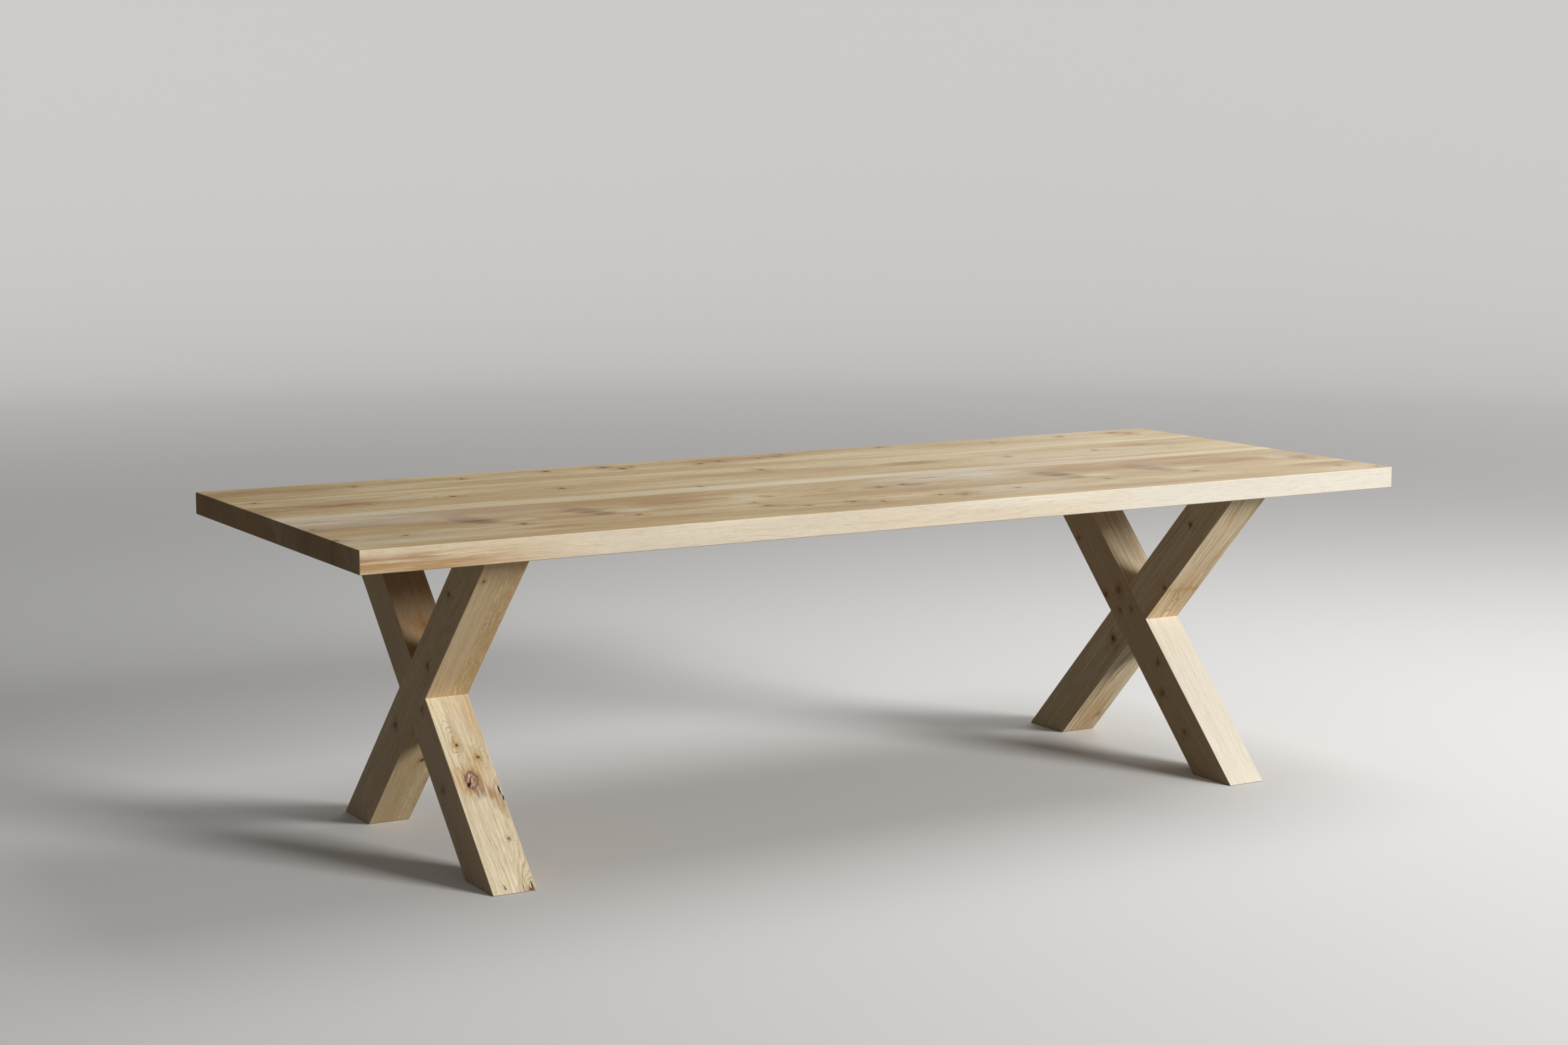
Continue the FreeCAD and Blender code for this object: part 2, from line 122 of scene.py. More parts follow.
profile = [(INNER_RING, 0.0)]
for step in range(0, 91, 6):
    turn = math.radians(step)
    radius = FLOOR_REACH + SWEEP_RADIUS * math.sin(turn)
    profile.append((radius, SWEEP_RADIUS * (1 - math.cos(turn))))
profile.append((FLOOR_REACH + SWEEP_RADIUS, WALL_TOP))
turns = [2 * math.pi * side / BOWL_SIDES for side in range(BOWL_SIDES)]
bowl = bmesh.new()
rings = [
    [bowl.verts.new((radius * math.cos(turn), radius * math.sin(turn), height)) for turn in turns]
    for radius, height in profile
]
hub = bowl.verts.new((0, 0, 0))
for side in range(BOWL_SIDES):
    bowl.faces.new((hub, rings[0][side - 1], rings[0][side]))
join_rings(bowl, rings[::-1])
for face in bowl.faces:
    face.smooth = True
floor = new_object("studio_floor", new_mesh("studio_floor", bowl))
print("faces in the sweep:", len(floor.data.polygons))

# %% [markdown]
# ## Colours
#
# Colours are easiest to pick as on a paint card, with red, green and blue from 0 to 255. Blender
# calculates with light instead, and light isn't in step with those numbers, so a small helper
# turns one into the other.

# %% Mix paint-card colours
FLOOR_SHOWN = (230, 229, 227)


def tint(red, green, blue):
    """A paint-card colour as the amounts of light that Blender calculates with."""
    shares = (part / 255 for part in (red, green, blue))
    light = [share / 12.92 if share <= 0.04045 else ((share + 0.055) / 1.055) ** 2.4 for share in shares]
    return (*light, 1)


print("floor shows", [round(part, 2) for part in tint(*FLOOR_SHOWN)[:3]])

# %% [markdown]
# ## Small helpers for materials
#
# A material is a chain of nodes: each takes numbers, colours or places in space, and gives new ones.
# Nodes can be drawn by hand in Blender's editor, but a script that adds and joins them one by one
# soon gets hard to read. So what a node gives is wrapped here in a small class that knows arithmetic:
# adding or multiplying two results adds the node that does it. A cloud is soft random noise, and its
# stretch says how many blobs there are to a metre along each axis.

# %% Add and join nodes


def join(node, wiring):
    """Fills the inputs of a node, or joins them to results."""
    for inlet, value in wiring.items():
        if isinstance(value, Result):
            node.id_data.links.new(value.socket, node.inputs[inlet])
        else:
            node.inputs[inlet].default_value = value


def put(tree, kind, wiring, outlet=0, **settings):
    """Adds a node, sets it up, joins its inputs, and gives the result from one of its outlets."""
    node = tree.nodes.new(kind)
    for name, value in settings.items():
        setattr(node, name, value)
    join(node, wiring)
    return Result(node.outputs[outlet])


class Result:
    """What a node gives: a number, or a place or colour, which are three numbers at once."""

    def __init__(self, socket, triple=None):
        self.socket = socket
        self.tree = socket.id_data
        self.triple = socket.type in ("VECTOR", "RGBA") if triple is None else triple

    def calc(self, operation, *others):
        """Arithmetic with other results, numbers or triples of numbers."""
        wiring = dict(enumerate((self, *others)))
        if self.triple or any(isinstance(other, (tuple, Vector)) for other in others):
            outlet = "Value" if operation in ("LENGTH", "DOT_PRODUCT") else "Vector"
            return put(self.tree, "ShaderNodeVectorMath", wiring, outlet, operation=operation)
        return put(self.tree, "ShaderNodeMath", wiring, operation=operation)

    __add__ = partialmethod(calc, "ADD")
    __sub__ = partialmethod(calc, "SUBTRACT")
    __mul__ = partialmethod(calc, "MULTIPLY")
    __truediv__ = partialmethod(calc, "DIVIDE")
    __abs__ = partialmethod(calc, "ABSOLUTE")
    length = partialmethod(calc, "LENGTH")

    def axis(self, index):
        """One of the three numbers of a place."""
        return put(self.tree, "ShaderNodeSeparateXYZ", {0: self}, index)

    def ease(self, start, end, most=1.0):
        """Goes smoothly from 0 at start to most at end, whichever of the two is larger."""
        wiring = {"Value": self, "From Min": start, "From Max": end, "To Max": most}
        return put(self.tree, "ShaderNodeMapRange", wiring, interpolation_type="SMOOTHSTEP")

    def cloud(self, stretch, detail=2.0, rough=0.5, outlet="Fac"):
        """Soft random cloud with its grain stretched, as a number, or as three for Color."""
        wiring = {"Vector": self * stretch, "Scale": 1.0, "Detail": detail, "Roughness": rough}
        return put(self.tree, "ShaderNodeTexNoise", wiring, outlet)

    def bump(self, strength, distance):
        """Tilts the light as if this were the height of the surface."""
        wiring = {"Strength": strength, "Distance": distance, "Height": self}
        return put(self.tree, "ShaderNodeBump", wiring)


print("a result can:", ", ".join(name for name in vars(Result) if not name.startswith("_")))

# %% [markdown]
# A finish is laid in coats, as on real wood. Each coat covers what is under it as strongly as its own
# pattern says. The last coat goes to the shader, together with a roughness, which says how soft
# the shine is.

# %% Lay coats and dress finishes


def paint_over(amount, under, over):
    """Lays one colour over another. Each is a result or a paint-card colour."""
    under, over = (tint(*colour) if isinstance(colour, tuple) else colour for colour in (under, over))
    return put(amount.tree, "ShaderNodeMix", {0: amount, 6: under, 7: over}, 2, data_type="RGBA")


def coats(colour, layers):
    """Lays several colours over one, each as strongly as its own amount says."""
    for amount, over in layers:
        colour = paint_over(amount, colour, over)
    return colour


def new_finish(name):
    """A new material, and the place on the piece that its patterns are laid out by."""
    finish = bpy.data.materials.new(name)
    finish.use_nodes = True
    return finish, put(finish.node_tree, "ShaderNodeTexCoord", {}, "Object")


def dress(finish, colour, roughness, others):
    """Joins the colour, roughness and other values of a finish to its shader."""
    wiring = {"Base Color": colour, "Roughness": roughness, **others}
    join(finish.node_tree.nodes["Principled BSDF"], wiring)


print("helpers ready")

# %% [markdown]
# ## Floor paint
#
# The floor is pale to look at, but it hands on less light than a pale floor would. Otherwise its glow
# from below would wash out the dark sides of the legs. Far from the table, where the lamps hardly
# reach, the sweep also glows a little, but only to the eye of the camera.

# %% Paint the floor
FLOOR_HANDS_ON = (152, 150, 147)
GLOW_STARTS, GLOW_FULL, GLOW = 3.0, 12.0, 0.30
floor_paint, where = new_finish("floor_paint")
eye = put(floor_paint.node_tree, "ShaderNodeLightPath", {}, "Is Camera Ray")
dress(floor_paint, paint_over(eye, FLOOR_HANDS_ON, FLOOR_SHOWN), 1.0, {
    "Specular IOR Level": 0.0,
    "Emission Strength": where.length().ease(GLOW_STARTS, GLOW_FULL, GLOW) * eye,
    "Emission Color": (1, 0.99, 0.97, 1),
})
floor.data.materials.append(floor_paint)
print("nodes in the floor paint:", len(floor_paint.node_tree.nodes))

# %% [markdown]
# ## The light
#
# One broad lamp stands at the right front, a little above the top, so that the front edge and the
# faces of the legs that lean to the front are lit and the ends stay quieter. That gives each beam a
# light and a dark side, which shows how the trestles are built. A much weaker lamp hangs over the
# right half of the top, and an even white sky fills the shadows. A single small lamp would make
# hard black shadows instead.

# %% Hang the lamps
SKY_STRENGTH = 0.15


def broad_lamp(name, place, target, width, height, power):
    """A rectangular lamp that points at a target and stays out of sight itself."""
    panel = bpy.data.lights.new(name, "AREA")
    panel.shape = "RECTANGLE"
    panel.size = width
    panel.size_y = height
    panel.energy = power
    lamp = new_object(name, panel)
    lamp.location = place
    lamp.rotation_euler = (Vector(target) - Vector(place)).to_track_quat("-Z", "Y").to_euler()
    lamp.visible_camera = False


broad_lamp("front_right_lamp", (6.4, -10.0, 4.4), (0, 0, 0.5), width=4.2, height=2.8, power=1530)
broad_lamp("ceiling_lamp", (2.6, 0.2, 4.2), (0.6, 0, 0.7), width=3.4, height=3.4, power=110)
sky = bpy.data.worlds.new("studio_sky")
sky.use_nodes = True
join(sky.node_tree.nodes["Background"], {"Color": (1, 1, 1, 1), "Strength": SKY_STRENGTH})
bpy.context.scene.world = sky

# %% [markdown]
# ## Oak, from the inside out
#
# Each year a tree grows one more layer round its pith, so a log is a stack of rough tubes. A plank is
# a box cut out of that stack. Where its face lies flat to the tubes, they show as arches. Where it cuts
# straight across them, they show as fine stripes, and on the cut end as arcs. A picture of wood wrapped
# round a box never gets the corners right. So the oak here is made in the round: for any spot in
# the beam, the nodes work out how far it is from the pith, and all faces agree of themselves.
#
# The node group works in grain space: u runs along the grain, v across the board and w through it.

# %% Open the oak group
FAR = 9.0


def inlets_of(tree):
    """The inlets of a node group, by name."""
    outlets = tree.nodes.new("NodeGroupInput").outputs
    return {socket.name: Result(socket) for socket in outlets if socket.name}


oak = bpy.data.node_groups.new("oak_grain", "ShaderNodeTree")
OAK_INLETS = {
    "Vector": {"spot": (0, 0, 0), "pith": (0, 0, -0.1), "log": (0, 0, 0)},
    "Float": {
        "year width": 0.0035, "taper": 0.01, "swell": 0.0, "knot": FAR, "bark": FAR, "warmth": 0.0,
        "cream": 0.0, "contrast": 1.0, "flecks": 0.3, "end grain": 0.0,
    },
}
for kind, listed in OAK_INLETS.items():
    for name, usual in listed.items():
        inlet = oak.interface.new_socket(name, in_out="INPUT", socket_type=f"NodeSocket{kind}")
        inlet.default_value = usual
for name, kind in (("Colour", "Color"), ("Roughness", "Float"), ("Normal", "Vector")):
    oak.interface.new_socket(name, in_out="OUTPUT", socket_type=f"NodeSocket{kind}")
given = inlets_of(oak)
print("inlets of the oak group:", len(given))

# %% [markdown]
# ### Years
#
# No trunk is a true cylinder. Its pith sways along the length, and each layer ripples a little. Both are
# clouds stretched along the grain, added to the spot before its distance from the pith is
# taken. The distance divided by the width of a year counts the years. What is left over after the whole
# years tells how far into the year a spot is: spring wood comes first, with big open pores, and
# the denser summer wood follows.

# %% Count the years
SPRING_STOPS = ((0.08, 1.0), (0.22, 0.8), (0.40, 0.25), (0.65, 0.04), (0.90, 0.0))
SPRING_ENDS = 0.6
SWAY, RIPPLE = 0.07, 0.007
in_log = given["spot"] + given["log"]
sway = in_log.cloud((1.3, 7, 7), 2.0, 0.45, "Color") * (0, SWAY, SWAY) - (0, SWAY / 2, SWAY / 2)
ripple = in_log.cloud((9, 55, 55), outlet="Color") * (0, RIPPLE, RIPPLE) - (0, RIPPLE / 2, RIPPLE / 2)
from_pith = given["spot"] - given["pith"] + (sway + ripple)
radius = (from_pith * (0, 1, 1)).length() + from_pith.axis(0) * given["taper"] + given["swell"]
wiring = {"W": radius, "Scale": 70.0, "Detail": 1.0}
seasons = put(oak, "ShaderNodeTexNoise", wiring, noise_dimensions="1D")
years = radius / given["year width"] + seasons * 2.2
wiring = {"W": years.calc("FLOOR")}
this_year = put(oak, "ShaderNodeTexWhiteNoise", wiring, "Value", noise_dimensions="1D")
ramp = put(oak, "ShaderNodeValToRGB", {0: years.calc("FRACT")}, "Color").socket.node
stops = ramp.color_ramp.elements
for at, level in SPRING_STOPS:
    stops.new(at).color = (level, level, level, 1)
for stop in (stops[0], stops[-1]):
    stop.color = (SPRING_ENDS, SPRING_ENDS, SPRING_ENDS, 1)
spring = Result(ramp.outputs["Color"], triple=False)
faded = in_log.cloud((6, 45, 45)).ease(0.30, 0.62)
year_line = spring * (this_year * 0.7 + 0.3) * (faded * 0.45 + 0.55)
print("nodes so far:", len(oak.nodes))

# %% [markdown]
# ### Fibres, pores and rays
#
# Oak is coarse. Its pores are open tubes up to a third of a millimetre wide, cut lengthways into short
# dark dashes, and most stand in the spring wood. Between them run the fibres, as fine streaks. Rays are
# thin walls of cells that stand out from the pith like spokes. Sawn flat they are barely visible,
# and sawn along they show as thin pale wavy lines, the flecks that oak is known for. All three are
# clouds again, and only the stretch differs. The rays are also pushed about by a coarser cloud first,
# which makes them waver.

# %% Add fibres, pores and rays
STREAKS, FIBRES, PORES = (4, 140, 140), (26, 1100, 1100), (120, 2400, 2400)
RAYS, RAY_GAPS, WAVER = (17, 520, 520), (24, 110, 110), 0.030
streak = in_log.cloud(STREAKS, 3.0)
fibre = in_log.cloud(FIBRES, 2.0, 0.6)
pore = in_log.cloud(PORES, 0.0).ease(0.58, 0.70) * (spring * 0.75 + 0.25)
flowing = in_log.cloud((12, 14, 14), 1.0, outlet="Color") * (0, WAVER, WAVER) + in_log
gaps = flowing.cloud(RAY_GAPS, 1.0).ease(0.38, 0.50)
ray = flowing.cloud(RAYS, 0.0).ease(0.53, 0.60) * (gaps * given["flecks"])
print("nodes so far:", len(oak.nodes))

# %% [markdown]
# ### Colour
#
# Freshly oiled oak is straw yellow, with honey and pinkish-brown patches as long as an arm. The youngest
# layers, just under the bark, are sapwood and almost cream. The colour starts as a slow blend of three
# tones. The year lines, streaks and pores are laid over it one at a time, each as weak as on
# real wood: a year line darkens the wood by a fifth, not by half.

# %% Lay the colours of the wood
STRAW = (230, 211, 171)
HONEY = (211, 186, 140)
ROSE_BROWN = (187, 157, 122)
CREAM = (246, 233, 200)
YEAR_LINE, YEAR_LINE_BY_KNOT = (172, 136, 94), (134, 104, 60)
STREAK, FIBRE, PORE, RAY = (176, 144, 106), (154, 122, 88), (112, 82, 54), (244, 229, 190)
tone = in_log.cloud((1.6, 11, 11), 3.0, 0.55) + given["warmth"]
wood = paint_over(tone.ease(0.36, 0.56), STRAW, HONEY)
sap = (in_log.cloud((3, 30, 30)) * 0.012 + radius - given["bark"]).ease(0.003, 0.010)
near_knot = given["swell"].ease(0.0005, 0.014)
line_tint = paint_over(near_knot, YEAR_LINE, YEAR_LINE_BY_KNOT)
line_depth = year_line * (near_knot * 0.6 + given["contrast"]) * (sap * -0.2 + 0.5)
wood = coats(wood, [
    (tone.ease(0.52, 0.78), ROSE_BROWN),
    (sap * 0.68, CREAM),
    (given["cream"], CREAM),
    (line_depth, line_tint),
    (streak.ease(0.36, 0.66, 0.34), STREAK),
    (fibre.ease(0.42, 0.68, 0.18), FIBRE),
    (pore * 0.36, PORE),
    (ray * 0.6, RAY),
])
print("nodes so far:", len(oak.nodes))

# %% [markdown]
# ### Knots
#
# A knot is a branch that the trunk grew round. It has a warm halo, a thin dark rim of bark and a brown
# heart that has dried and cracked, and round it the years swerve like water round a stone. Where
# each knot sits is told by the plank itself, as a distance counted in the knot's own radii, so one
# recipe serves a pin knot and one as large as an egg.

# %% Dress the knots
HALO, BARK_DASH, HEART = (182, 140, 88), (108, 74, 50), (140, 94, 62)
BARK_RIM, DARK_HEART, CRACK, END_GRAIN = (96, 62, 40), (38, 26, 19), (28, 19, 14), (116, 84, 54)
knot_at = given["knot"] + in_log.cloud((170, 260, 260), 3.0, 0.6) - 0.5
dash = in_log.cloud((34, 420, 420), 2.0, 0.6).ease(0.55, 0.64) * knot_at.ease(7.0, 2.0, 0.75)
wiring = {"Vector": in_log, "Scale": 190.0}
crack = put(oak, "ShaderNodeTexVoronoi", wiring, "Distance", feature="DISTANCE_TO_EDGE")
crack = crack.ease(0.10, 0.03) * knot_at.ease(0.95, 0.6)
wood = coats(wood, [
    (knot_at.ease(3.2, 0.9, 0.6), HALO),
    (dash, BARK_DASH),
    (knot_at.ease(1.15, 0.75, 0.75), HEART),
    (abs(knot_at - 0.95).ease(0.26, 0.02, 0.45), BARK_RIM),
    (knot_at.ease(0.66, 0.36, 0.94), DARK_HEART),
    (crack * 0.85, CRACK),
    (given["end grain"] * 0.62, END_GRAIN),
])
print("nodes so far:", len(oak.nodes))

# %% [markdown]
# ### Surface
#
# The table is oiled, not varnished, so it shines only softly: rays a little more than the rest, open
# pores less. Pores and cracks are also real hollows, and the hard rays stand up by a hair after
# sanding. All that is far too small to model one by one, so a bump pattern tilts the light instead.

# %% Finish the surface
gloss = pore * 0.18 + ray * -0.08 + streak * 0.10 + 0.58
hollow = crack * 1.4 + pore * 0.6 + year_line * 0.25 - ray * 0.5
relief = (fibre * 0.35 - hollow).bump(0.35, 0.0006)
join(oak.nodes.new("NodeGroupOutput"), {"Colour": wood, "Roughness": gloss, "Normal": relief})
print("nodes in the oak group:", len(oak.nodes))

# %% [markdown]
# ## One finish for each piece of wood
#
# Every plank and beam comes from another part of another log, so each gets its own material. It turns
# the spot into grain space, and carries that piece's own knots and stains. A knot list is short and
# written out one by one, because knots are what people recognise a plank by. Scattering them at random
# would be quicker, but then they land on joints and corners, where no joiner would let them. Swirls
# bend the years where no knot shows, as over a branch that lies a little deeper.

# %% Place the knots
SOFT_RISE = 0.010


def wobbly(spot, stretch, reach):
    """The spot, pushed about a little, so that outlines aren't drawn with a compass."""
    return (spot.cloud(stretch, outlet="Color") - (0.5, 0.5, 0.5)) * (reach, reach, reach) + spot


def from_centre(spot, centre, reach):
    """The way from a centre to the spot, counted in reaches. A reach of 0 leaves its axis out."""
    shrink = tuple(1 / size if size else 0 for size in reach)
    start = tuple(-middle * share for middle, share in zip(centre, shrink))
    return spot * shrink + start


def swelling(distance, rise):
    """How far the years swell at a distance from a branch."""
    return (distance * distance * -1.0).calc("EXPONENT") * rise


def nearest_knot(spot, knots, swirls):
    """Distance to the nearest knot in its own radii, and how far the years swell round them."""
    calm = wobbly(spot, (22, 34, 34), 0.010)
    spot = wobbly(spot, (80, 80, 80), 0.008)
    nearest = pull = FAR
    for centre, size, through in knots:
        from_knot = from_centre(spot, centre, [0 if axis == through else size for axis in "uvw"])
        nearest = from_knot.length().calc("MINIMUM", nearest)
        pull = (from_knot * (0.22, 0.42, 0.42)).length().calc("MINIMUM", pull)
    swell = swelling(pull, SOFT_RISE)
    for centre, reach, rise in swirls:
        swell = swell + swelling(from_centre(calm, centre, reach).length(), rise)
    return nearest, swell


print("knot helpers ready")

# %% [markdown]
# A stain is strongest in its middle and fades over its reach. A strip has straight sides instead. Where
# two overlap, the stronger one counts, because wood that is stained twice is no darker than the dye.

# %% Place the stains


def stain_depth(spot, stains):
    """How strongly a spot is stained, from soft patches given by centre, reach and depth."""
    depth = 0.0
    for centre, reach, strength in stains:
        distance = from_centre(spot, centre, reach).length()
        depth = distance.ease(1.1, 0.35, strength).calc("MAXIMUM", depth)
    return depth


def strip_depth(spot, strips):
    """How strongly a spot is tinted, from straight strips with a span and a softness per axis."""
    depth = 0.0
    for spans, strength in strips:
        inside = put(spot.tree, "ShaderNodeMath", {0: strength, 1: 0.0})
        for index, (low, high, soft) in enumerate(spans):
            for end, edge in ((low, soft), (high, -soft)):
                if end is not None:
                    inside = inside * spot.axis(index).ease(end - edge, end + edge)
        depth = inside.calc("MAXIMUM", depth)
    return depth


print("stain helpers ready")

# %% [markdown]
# A large knot may split as it dries. It then shows dark strokes and pale splinters, drawn out at a slant
# inside its rim. And everywhere the oak has fine dark lines of open grain, which show through every
# stain, so they are laid on last.

# %% Draw split knots and fine lines


def open_knot(spot, colour, centre, reach, lean):
    """A large split knot: dark strokes and pale splinters inside a dark rim."""
    mapping = {"Vector": spot, "Location": centre, "Rotation": (0, 0, lean), "Scale": (*reach, 1)}
    inner = put(spot.tree, "ShaderNodeMapping", mapping, vector_type="TEXTURE") * (1, 1, 0)
    torn = spot.cloud((70, 160, 160), 3.0, 0.6) - 0.5
    ring = inner.length() + torn * 1.3
    inside = ring.ease(1.15, 0.70)
    bent = wobbly(inner, (1.1, 1.1, 1), 0.7)
    strokes = bent.cloud((0.8, 3.6, 1), 3.0, 0.6)
    splinters = (bent + (7, 5, 0)).cloud((1.0, 4.4, 1))
    hollow = (inner + (0.55, 0.45, 0)).length() + torn * 1.6
    return coats(colour, [
        (ring.ease(2.3, 0.9, 0.55), (184, 142, 90)),
        (ring.ease(1.5, 0.9, 0.55), (150, 106, 78)),
        (inside * 0.7, (192, 156, 122)),
        (inside * splinters.ease(0.48, 0.62, 0.9), (236, 220, 196)),
        (inside * strokes.ease(0.47, 0.57, 0.85), (88, 56, 50)),
        (abs(ring - 1.0).ease(0.30, 0.05, 0.6), (108, 70, 58)),
        (hollow.ease(0.42, 0.20, 0.9), (48, 31, 29)),
    ])


def fine_lines(spot, colour):
    """Short dark lines of open grain, which show through every stain."""
    return coats(colour, [
        (spot.cloud((30, 470, 470), 3.0, 0.62).ease(0.46, 0.74, 0.20), (148, 116, 82)),
        (spot.cloud((24, 330, 330), 2.0, 0.6).ease(0.66, 0.75, 0.22), (122, 88, 60)),
    ])


print("split knots and fine lines ready")

# %% [markdown]
# The finish itself joins the parts. Grain space is an ordinary Mapping node. Its turn comes from three
# directions: along the grain, across the board, and out of the face that is seen most.
#
# Stains come in eight kinds: the violet-grey that iron leaves, the red-brown of heartwood near a
# branch, plain brown, a pinkish rose, amber, a pale of sapwood, a greyish white, and the near-black of a
# crack.
# The two pales are also laid on as painted light, and brown and rose as painted shade.
# Each is a soft patch, a small sharp mark or a straight strip, and may be kept to the faces that
# point one way. A beam may also change from one kind of wood to another across its width, as if glued
# from two staves. The faces that point across a piece may have a tint of their own, which is painted light
# and shade: paler front and back edges on the planks, and darker sides on the beams. Fine dark lines of
# open grain come last.
# A stain soaks into wood and never hides its grain, and a flat coat of colour would.

# %% Make a finish
STAIN_AND_LIGHT_TINTS = {
    "violet": (114, 90, 86),
    "red": (166, 114, 72),
    "brown": (166, 128, 88),
    "rose": (188, 154, 122),
    "pale": (240, 230, 208),
    "bleached": (222, 217, 205),
    "amber": (206, 164, 104),
    "dark": (58, 38, 30),
}
SHARP = 0.0006


def squarely(towards, most=1.0):
    """How squarely a face points somewhere, from the cosine of the angle between them."""
    return towards.ease(0.6, 0.9, most)


def oak_finish(name, directions, centre, knots, log, tints=(), side=None, swirls=(), split_knot=None):
    """The material of one plank or beam, cut from its own part of a log."""
    finish, where = new_finish(name)
    normal = Result(where.socket.node.outputs["Normal"])
    turn = Matrix(directions)
    start = -(turn @ Vector(centre))
    flip = -1 if turn.determinant() < 0 else 1
    turn = (turn @ Matrix.Diagonal((flip, 1, 1))).to_euler("XYZ")
    mapping = {"Vector": where, "Location": start, "Rotation": turn, "Scale": (flip, 1, 1)}
    spot = put(where.tree, "ShaderNodeMapping", mapping)
    nearest, swell = nearest_knot(spot, knots, swirls)
    to_end, to_side = (abs(normal.calc("DOT_PRODUCT", way)) for way in directions[:2])
    wiring = {"spot": spot, "swell": swell, "knot": nearest, "end grain": squarely(to_end), **log["whole"]}
    if "stave" in log:
        edge = wobbly(spot, (14, 40, 40), 0.012).axis(1)
        beyond = edge.ease(log["stave"] - SHARP, log["stave"] + SHARP)
        for inlet, value in log["beyond"].items():
            usual = wiring[inlet]
            step = Vector(value) - Vector(usual) if isinstance(value, tuple) else value - usual
            wiring[inlet] = beyond * step + usual
    grown = put(where.tree, "ShaderNodeGroup", wiring, "Colour", node_tree=oak)
    colour = grown
    loose = wobbly(spot, (9, 50, 50), 0.035)
    firm = wobbly(spot, (20, 60, 60), 0.010)
    sharp = wobbly(spot, (240, 420, 420), 0.003)
    streaky = spot.cloud((6, 150, 150), 3.0, 0.6).ease(0.30, 0.62)
    # The side tint is painted light and shade on the faces that point across the piece: a highlight where
    # it is pale, shade where it is dark.
    if side:
        colour = paint_over(squarely(to_side, side[1]), colour, STAIN_AND_LIGHT_TINTS[side[0]])
    for kind, shape, face, patches in tints:
        if shape == "patch":
            depth = stain_depth(loose, patches) * streaky
        elif shape == "mark":
            depth = stain_depth(sharp, patches)
        else:
            depth = strip_depth(firm, patches)
        if face:
            depth = squarely(normal.calc("DOT_PRODUCT", face)) * depth
        colour = paint_over(depth, colour, STAIN_AND_LIGHT_TINTS[kind])
    colour = fine_lines(spot + log["whole"]["log"], colour)
    if split_knot:
        colour = open_knot(spot, colour, *split_knot)
    roughness, relief = (Result(grown.socket.node.outputs[name]) for name in ("Roughness", "Normal"))
    dress(finish, colour, roughness, {"Normal": relief, "Specular IOR Level": 0.3})
    return finish


print("stain kinds:", ", ".join(STAIN_AND_LIGHT_TINTS))

# %% [markdown]
# ## The planks
#
# The top is 50 mm thick and made of four planks of full length, glued edge to edge. Their widths differ,
# because each was sawn as wide as its log allowed. The solids in the frame already hold every groove,
# pocket and bore, so each plank starts as a copy of its solid. The copy's loose triangles are
# joined, and flat faces become whole again. Then its outside edges, which the solid only chamfers, are
# rounded, as a hand plane and sandpaper leave them.

# %% Copy a solid's mesh


def whole_copy(node):
    """A copy of a solid's mesh, its loose triangles joined and its flat faces made whole."""
    piece = bmesh.new()
    piece.from_mesh(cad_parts[node].data)
    bmesh.ops.remove_doubles(piece, verts=piece.verts, dist=1e-6)
    flat = math.radians(0.5)
    bmesh.ops.dissolve_limit(piece, angle_limit=flat, verts=piece.verts, edges=piece.edges)
    return piece


def finished_piece(piece, name, finish):
    """Turns mesh work into an object in the scene, with its finish."""
    mesh = new_mesh(name, piece)
    mesh.materials.append(finish)
    return new_object(name, mesh)


def edge_turn(edge):
    """The angle between the two faces of an edge, in degrees."""
    return math.degrees(edge.calc_face_angle(0)) if len(edge.link_faces) == 2 else 0


top_low, top_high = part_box("top_board_back")
TOP_LEFT = top_low.x
TOP_BACK = top_high.y
TOP_MIDDLE = (top_low.z + top_high.z) / 2
print("top runs from", round(TOP_LEFT, 3), "to", round(top_high.x, 3))

# %% [markdown]
# The knots and stains of a plank are listed as on a cutting sheet, in millimetres: from the left end of
# the top, from its back edge, then the radius. Stains add their reach along and across, and a depth
# from 0 to 1. An iron stain is several patches that overlap, because one alone looks like a dot. The
# same stain comes back at four steps along its plank, where straps held the stack while it dried.
# Streaks are thin and sharp. Bleached and pale patches are the work of the sun, so only faces that
# point up have them.

# %% List knots and stains of the planks
PLANK_KNOTS = {
    "top_board_back": [
        (345, 90, 5), (615, 85, 6), (844, 58, 8), (999, 53, 9), (1028, 100, 9), (1065, 74, 6),
        (1237, 106, 7), (1300, 84, 8), (1415, 80, 6), (1475, 62, 7), (1503, 37, 6), (1802, 28, 6),
        (2115, 84, 6), (2345, 60, 8), (2520, 58, 9), (2550, 92, 8),
    ],
    "top_board_inner_back": [
        (52, 247, 6), (475, 360, 6), (745, 356, 6), (1033, 484, 4), (1307, 283, 7), (1973, 360, 6),
        (2245, 356, 6), (2421, 318, 5), (262, 384, 4),
    ],
    "top_board_inner_front": [
        (1385, 698, 8), (1458, 680, 8), (1005, 790, 4), (2604, 725, 6), (2596, 752, 7), (20, 690, 5),
    ],
    "top_board_front": [
        (8, 856, 7), (155, 860, 6), (431, 829, 7), (702, 825, 6), (1010, 836, 6), (1087, 883, 5),
        (1204, 878, 7), (1265, 906, 6), (1435, 876, 6), (1484, 898, 8), (1505, 874, 6),
        (1655, 864, 6), (1931, 829, 6), (2198, 823, 6), (2570, 908, 6), (2639, 969, 5),
    ],
}
IRON_STAIN = [
    (350, 700, 46, 58, 0.8), (364, 724, 46, 50, 0.85), (374, 768, 34, 38, 0.55), (350, 648, 32, 48, 0.3),
]
IRON_STEPS = (0, 267, 1507, 1775)
